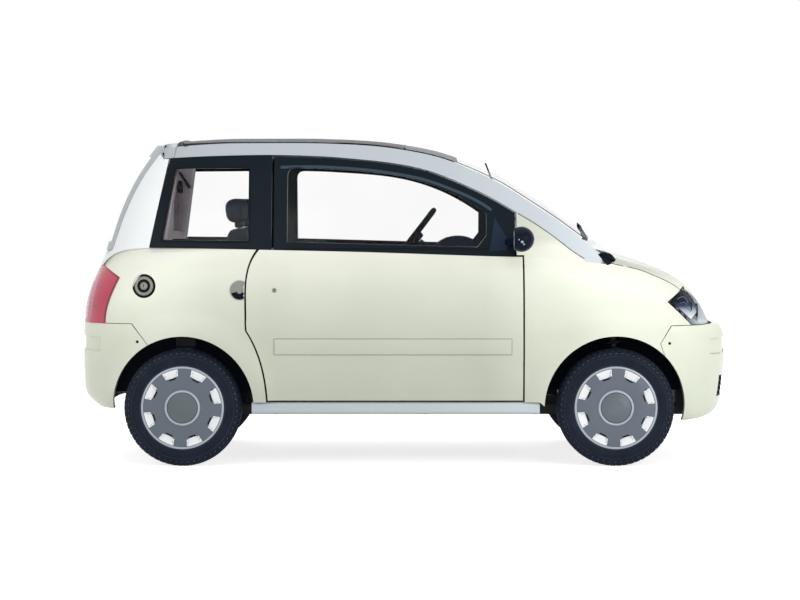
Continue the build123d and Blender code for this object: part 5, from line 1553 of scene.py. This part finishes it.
def steering_parts():
    """Grip, hub pad, spokes and column stalks of the steering wheel."""
    centre = Vector((0.034, 0.300, 1.003))
    tilt = math.radians(37.3)
    axis = Vector((-math.cos(tilt), 0, math.sin(tilt)))
    axis, u, v = frame_about(axis)
    radius, thick = 0.172, 0.0155
    verts = []
    around, sides = 96, 14
    for turn in circle(around):
        spoke = u * math.cos(turn) + v * math.sin(turn)
        grip = 1.0 + 0.06 * math.cos(3 * turn) ** 8
        for angle in circle(sides):
            ripple = 1 - 0.03 * (0.5 + 0.5 * math.cos(8 * angle))
            verts.append(centre + spoke * (radius + thick * 0.84 * grip * ripple * math.cos(angle))
                         + axis * thick * 0.84 * grip * ripple * math.sin(angle))
    faces = tube_faces(around, sides, True)
    wheel = "steering_wheel_body"
    rim = add("steering_rim", [(verts, faces)], "soft_black", wheel, 60)
    hub = [(-0.034, 0.030), (-0.034, 0.046), (-0.020, 0.051), (-0.004, 0.050), (0.002, 0.044),
           (0.005, 0.030), (0.006, 0.0004)]
    add("steering_hub", [turned(hub, centre, axis, 40)], "dark_trim", wheel, 35)
    spokes = []
    for direction in (u, -u, v if v.z < 0 else -v):
        points = [centre + direction * r - axis * drop for r,
                  drop in ((0.030, 0.010), (0.070, 0.009), (0.120, 0.006), (0.160, 0.002))]
        section = [(a, b) for a, b in ((-0.005, -0.014), (0.004, -0.015), (0.005, -0.008), (0.005, 0.008),
                                       (0.004, 0.015), (-0.005, 0.014))]
        spokes.append(swept(points, [(b, a) for a, b in section] if abs(direction.y) < 0.5 else section))
    add("steering_spokes", spokes, "dark_trim", wheel, 40)
    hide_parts("steering_wheel")
    for side in (-1, 1):
        start = Vector((0.110, 0.300 + side * 0.022, 0.950))
        stalk = eased([start, start + Vector((-0.006, side * 0.050, 0.006)),
                       start + Vector((-0.010, side * 0.110, 0.014))], 6)
        add(f"column_stalk_{'left' if side > 0 else 'right'}", [swept(stalk, round_section(0.0065, 10)),
            turned([(-0.002, 0.0066), (0.004, 0.0082), (0.022, 0.0086), (0.026, 0.006), (0.0265, 0.0004)],
                   stalk[-1], (-0.1, side, 0.12), 14)],
            "soft_black", "body", 40)


def controls():
    """Gear lever, parking brake, pedals and the interior mirror."""
    boot = [(-0.004, 0.045), (0.010, 0.042), (0.020, 0.032), (0.030, 0.029), (0.040, 0.021), (0.048, 0.018),
            (0.060, 0.011)]
    lever = eased([(0.040, 0, 0.312), (0.036, 0, 0.400), (0.020, 0, 0.480)], 6)
    add("gear_tunnel", [block((0.060, 0, 0.288), (0.360, 0.120, 0.046), 0.016)], "dark_trim", "body", 40)
    add("gear_boot", [turned(boot, (0.040, 0, 0.312), (0, 0, 1), 32)], "soft_black", "body", 40)
    add("gear_rod", [swept(lever, round_section(0.006, 12))], "steel", "body", 40)
    knob = [(-0.030, 0.0125), (-0.020, 0.0180), (0.0, 0.0220), (0.014, 0.0200), (0.023, 0.0120),
            (0.0255, 0.0004)]
    add("gear_knob", [turned(knob, (0.014, 0, 0.502), (-0.2, 0, 1), 28)], "soft_black", "body", 40)
    brake = eased([(-0.180, 0.0, 0.300), (-0.120, 0.0, 0.345), (0.0, 0.0, 0.372)], 5)
    brake = [Vector((p.x - 0.18, p.y, p.z)) for p in brake]
    add("parking_brake", [swept(brake, round_section(0.013, 12))], "soft_black", "body", 40)
    for name, y in (("brake_pedal", 0.255), ("throttle_pedal", 0.355)):
        arm = eased([(0.548, y, 0.560), (0.500, y, 0.470), (0.474, y, 0.400)], 5)
        pad = block((0.470, y, 0.385), (0.010, 0.060 if "brake" in name else 0.045,
                                        0.055 if "brake" in name else 0.090), 0.004, 0.5)
        ribs = [block((0.4655, y, 0.385 + d), (0.004, 0.052 if "brake" in name else 0.038, 0.004), 0.0015,
                      0.5) for d in (-0.016, -0.006, 0.004, 0.014)]
        add(name, [swept(arm, flat_section(0.016, 0.006)), pad] + ribs, "soft_black", "body", 40)
    stem = eased([(0.150, 0, 1.404), (0.128, 0, 1.392), (0.112, 0, 1.366)], 5)
    verts = []
    for depth, scale in ((0.0, 0.94), (0.0, 1.0), (0.012, 1.0), (0.022, 0.86), (0.027, 0.5), (0.028, 0.02)):
        for turn in circle(40):
            a, b = math.cos(turn), math.sin(turn)
            power = 0.62
            y = 0.098 * scale * math.copysign(abs(a) ** power, a)
            z = 0.030 * scale * math.copysign(abs(b) ** power, b)
            verts.append((0.098 + depth, y, 1.352 + z))
    add("cabin_mirror_shell", [(verts, tube_faces(6, 40)), swept(stem, round_section(0.006, 10))],
        "soft_black", "body", 40)
    glass_verts = [(0.0985, y * 0.93, 1.352 + (z - 1.352) * 0.9) for _, y,
                   z in verts[40:80]] + [(0.0982, 0, 1.352)]
    add("cabin_mirror_glass", [(glass_verts, [(k, (k + 1) % 40, 40) for k in range(40)])], "mirror_glass",
        "body", 40)


def door_cards():
    for side, hand in HANDS:
        tree = surface_of(f"door_{hand}_panel")
        door = f"door_{hand}"
        inner = inside(tree, side)
        rows = patch(-0.560, 0.400, 0.345, 0.900, edged(14, 0.012), edged(4, 0.02))
        add(f"door_card_{hand}", [laid(rows, inner,
                                       [0.0008, 0.0050, 0.0060, 0.0060, 0.0060, 0.0050, 0.0008])],
            "dark_trim", door, 35)
        rest_rows = patch(-0.300, 0.120, 0.640, 0.690, edged(8, 0.05), edged(2, 0.15))
        add(f"armrest_{hand}", [laid(rest_rows, inner, [0.006, 0.026, 0.034, 0.026, 0.006])], "soft_black",
            door, 50)
        pull = patch(0.180, 0.255, 0.800, 0.834, edged(2, 0.1), (0.0, 0.2, 0.8, 1.0))
        add(f"inner_handle_{hand}", [laid(pull, inner, [0.006, 0.014, 0.014, 0.006])], "steel", door, 40)
        pocket = patch(-0.420, 0.280, 0.372, 0.492, edged(10, 0.02), edged(2, 0.06))
        add(f"door_pocket_{hand}", [laid(pocket, inner, [0.0066, 0.016, 0.022, 0.026, 0.0066])],
            "black_plastic", door, 45)


def cabin_floor():
    floor = surface_of("floor_pan")
    down = lambda x, y: meet(floor, (x, y, 0.60 if x < -0.72 else 0.50), (0, 0, -1))
    for side, hand in HANDS:
        middle = side * 0.310
        rows = patch(-0.150, 0.450, middle - 0.210, middle + 0.210, edged(10, 0.02), edged(2, 0.03))
        add(f"floor_mat_{hand}", [laid(rows, down, [0.0010, 0.0070, 0.0080, 0.0070, 0.0010])], "carpet",
            "body", 45)
    rows = patch(-1.220, -0.820, -0.440, 0.440, edged(8, 0.02), edged(12, 0.01))
    heights = [0.0010] + [0.0060] * (len(rows[0]) - 2) + [0.0010]
    add("load_mat", [laid(rows, down, heights)], "carpet", "body", 45)


# ------------------------------------------------------------------------ underneath
def coil(centre, radius, thickness, z0, z1, turns):
    """A coil spring standing on Z, its end turns flat."""
    points = []
    steps = int(turns * 20)
    for k in range(steps + 1):
        share = k / steps
        angle = 2 * math.pi * turns * share
        height = z0 + thickness + (z1 - z0 - 2 * thickness) * (share + 0.04 * math.sin(2 * math.pi * share))
        points.append(Vector((centre[0] + radius * math.cos(angle), centre[1] + radius * math.sin(angle),
                              height)))
    return swept(points, round_section(thickness, 8))


def bolt(place, axis, size=0.008):
    head = [(0.0, size * 1.25), (0.0012, size * 1.25), (0.0012, size), (size * 0.75, size),
            (size * 0.85, size * 0.85),
            (size * 0.86, size * 0.05)]
    return turned(head, place, axis, 6)


def underneath():
    front_x, rear_x, hub_z = 0.939, -0.991, 0.262
    for side, hand in HANDS:
        add(f"front_spring_{hand}", [coil((front_x, side * 0.520), 0.034, 0.0055, 0.430, 0.600, 5)],
            "spring", "body", 60)
        add(f"rear_spring_{hand}", [coil((-0.901, side * 0.340), 0.047, 0.0055, 0.300, 0.480, 5)], "spring",
            "body", 60)
        disc = [(-0.010, 0.040), (-0.010, 0.118), (-0.004, 0.120), (-0.001, 0.118), (-0.001, 0.062),
                (0.020, 0.058), (0.021, 0.040)]
        for end, x in (("front", front_x), ("rear", rear_x)):
            low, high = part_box(f"rim_{end}_{hand}")
            inner_y = low.y if side > 0 else high.y
            face = Vector((x, inner_y + side * 0.006, hub_z))
            add(f"brake_{end}_{hand}", [turned(disc, face, (0, side, 0), 48)], "steel",
                f"wheel_{end}_{hand}", 35)
        caps = []
        for x, z in ((front_x - 0.05, 0.652), (front_x + 0.05, 0.652)):
            caps += [bolt(Vector((x, side * (0.450 + d), z)), (0, 0, 1), 0.007) for d in (-0.06, 0.06)]
        add(f"tower_bolts_{hand}", caps, "steel", "body", 25)
    clamps = []
    for x in (-0.62, 0.10, 0.62):
        clamps.append(turned([(-0.010, 0.0186), (-0.010, 0.0205), (0.010, 0.0205), (0.010, 0.0186)],
                             Vector((x, 0.170, 0.185)), (1, 0, 0), 28))
    for x in (-1.222, -1.078):
        clamps.append(turned([(-0.008, 0.0602), (-0.008, 0.0622), (0.008, 0.0622), (0.008, 0.0602)],
                             Vector((x, 0.150, 0.350)), (1, 0, 0), 36))
    add("exhaust_clamps", clamps, "steel", "body", 30)
    lines = []
    for y in (-0.262, -0.252):
        route = eased([(0.880, y, 0.236), (0.400, y, 0.232), (-0.300, y, 0.234), (-0.820, y, 0.236)], 8)
        lines.append(swept(route, round_section(0.0032, 8)))
    add("brake_lines", lines, "steel", "body", 50)
    engine = [block((0.800, 0.0, 0.400), (0.130, 0.36, 0.10), 0.010),
              block((0.940, 0.0, 0.545), (0.36, 0.22, 0.010), 0.004)]
    engine += [turned([(0.0, 0.062), (0.004, 0.062), (0.018, 0.058), (0.020, 0.020), (0.021, 0.0005)],
                      Vector((0.940, side * 0.2195, 0.400)), (0, side, 0), 36)
               for side in (-1, 1)]
    add("engine_covers", engine, "dark_trim", "body", 35)
    fins = [block((0.940 + 0.020 * k, 0.0, 0.549), (0.006, 0.30, 0.002), 0.0008) for k in range(-6, 7)]
    add("engine_fins", fins, "steel", "body", 30)
    rings_made = [turned([(0.0, 0.034), (0.010, 0.034), (0.014, 0.030), (0.014, 0.022), (0.016, 0.0005)],
                         Vector((-1.150, -0.2795, 0.430)), (0, -1, 0), 28)]
    add("tank_cap", rings_made, "soft_black", "body", 40)
    straps = [block((x, -0.150, 0.3205), (0.024, 0.262, 0.003), 0.001) for x in (-1.200, -1.100)]
    add("tank_straps", straps, "steel", "body", 30)


# ---------------------------------------------------------------------------- making
camera()
studio()
apply_looks()
ROOF = surface_of("roof_panel", "roof_rails", "windscreen")
wheels()
lamp_shells()
headlamp_insides()
tail_lamp_parts()
side_details()
window_trim()
shut_gap_seals()
mirror_parts()
front_and_back()
roof_parts()
windscreen_band()
scuttle_ends()
wiper_parts()
seats()
belts()
rear_trim()
dash_parts()
steering_parts()
controls()
door_cards()
cabin_floor()
underneath()
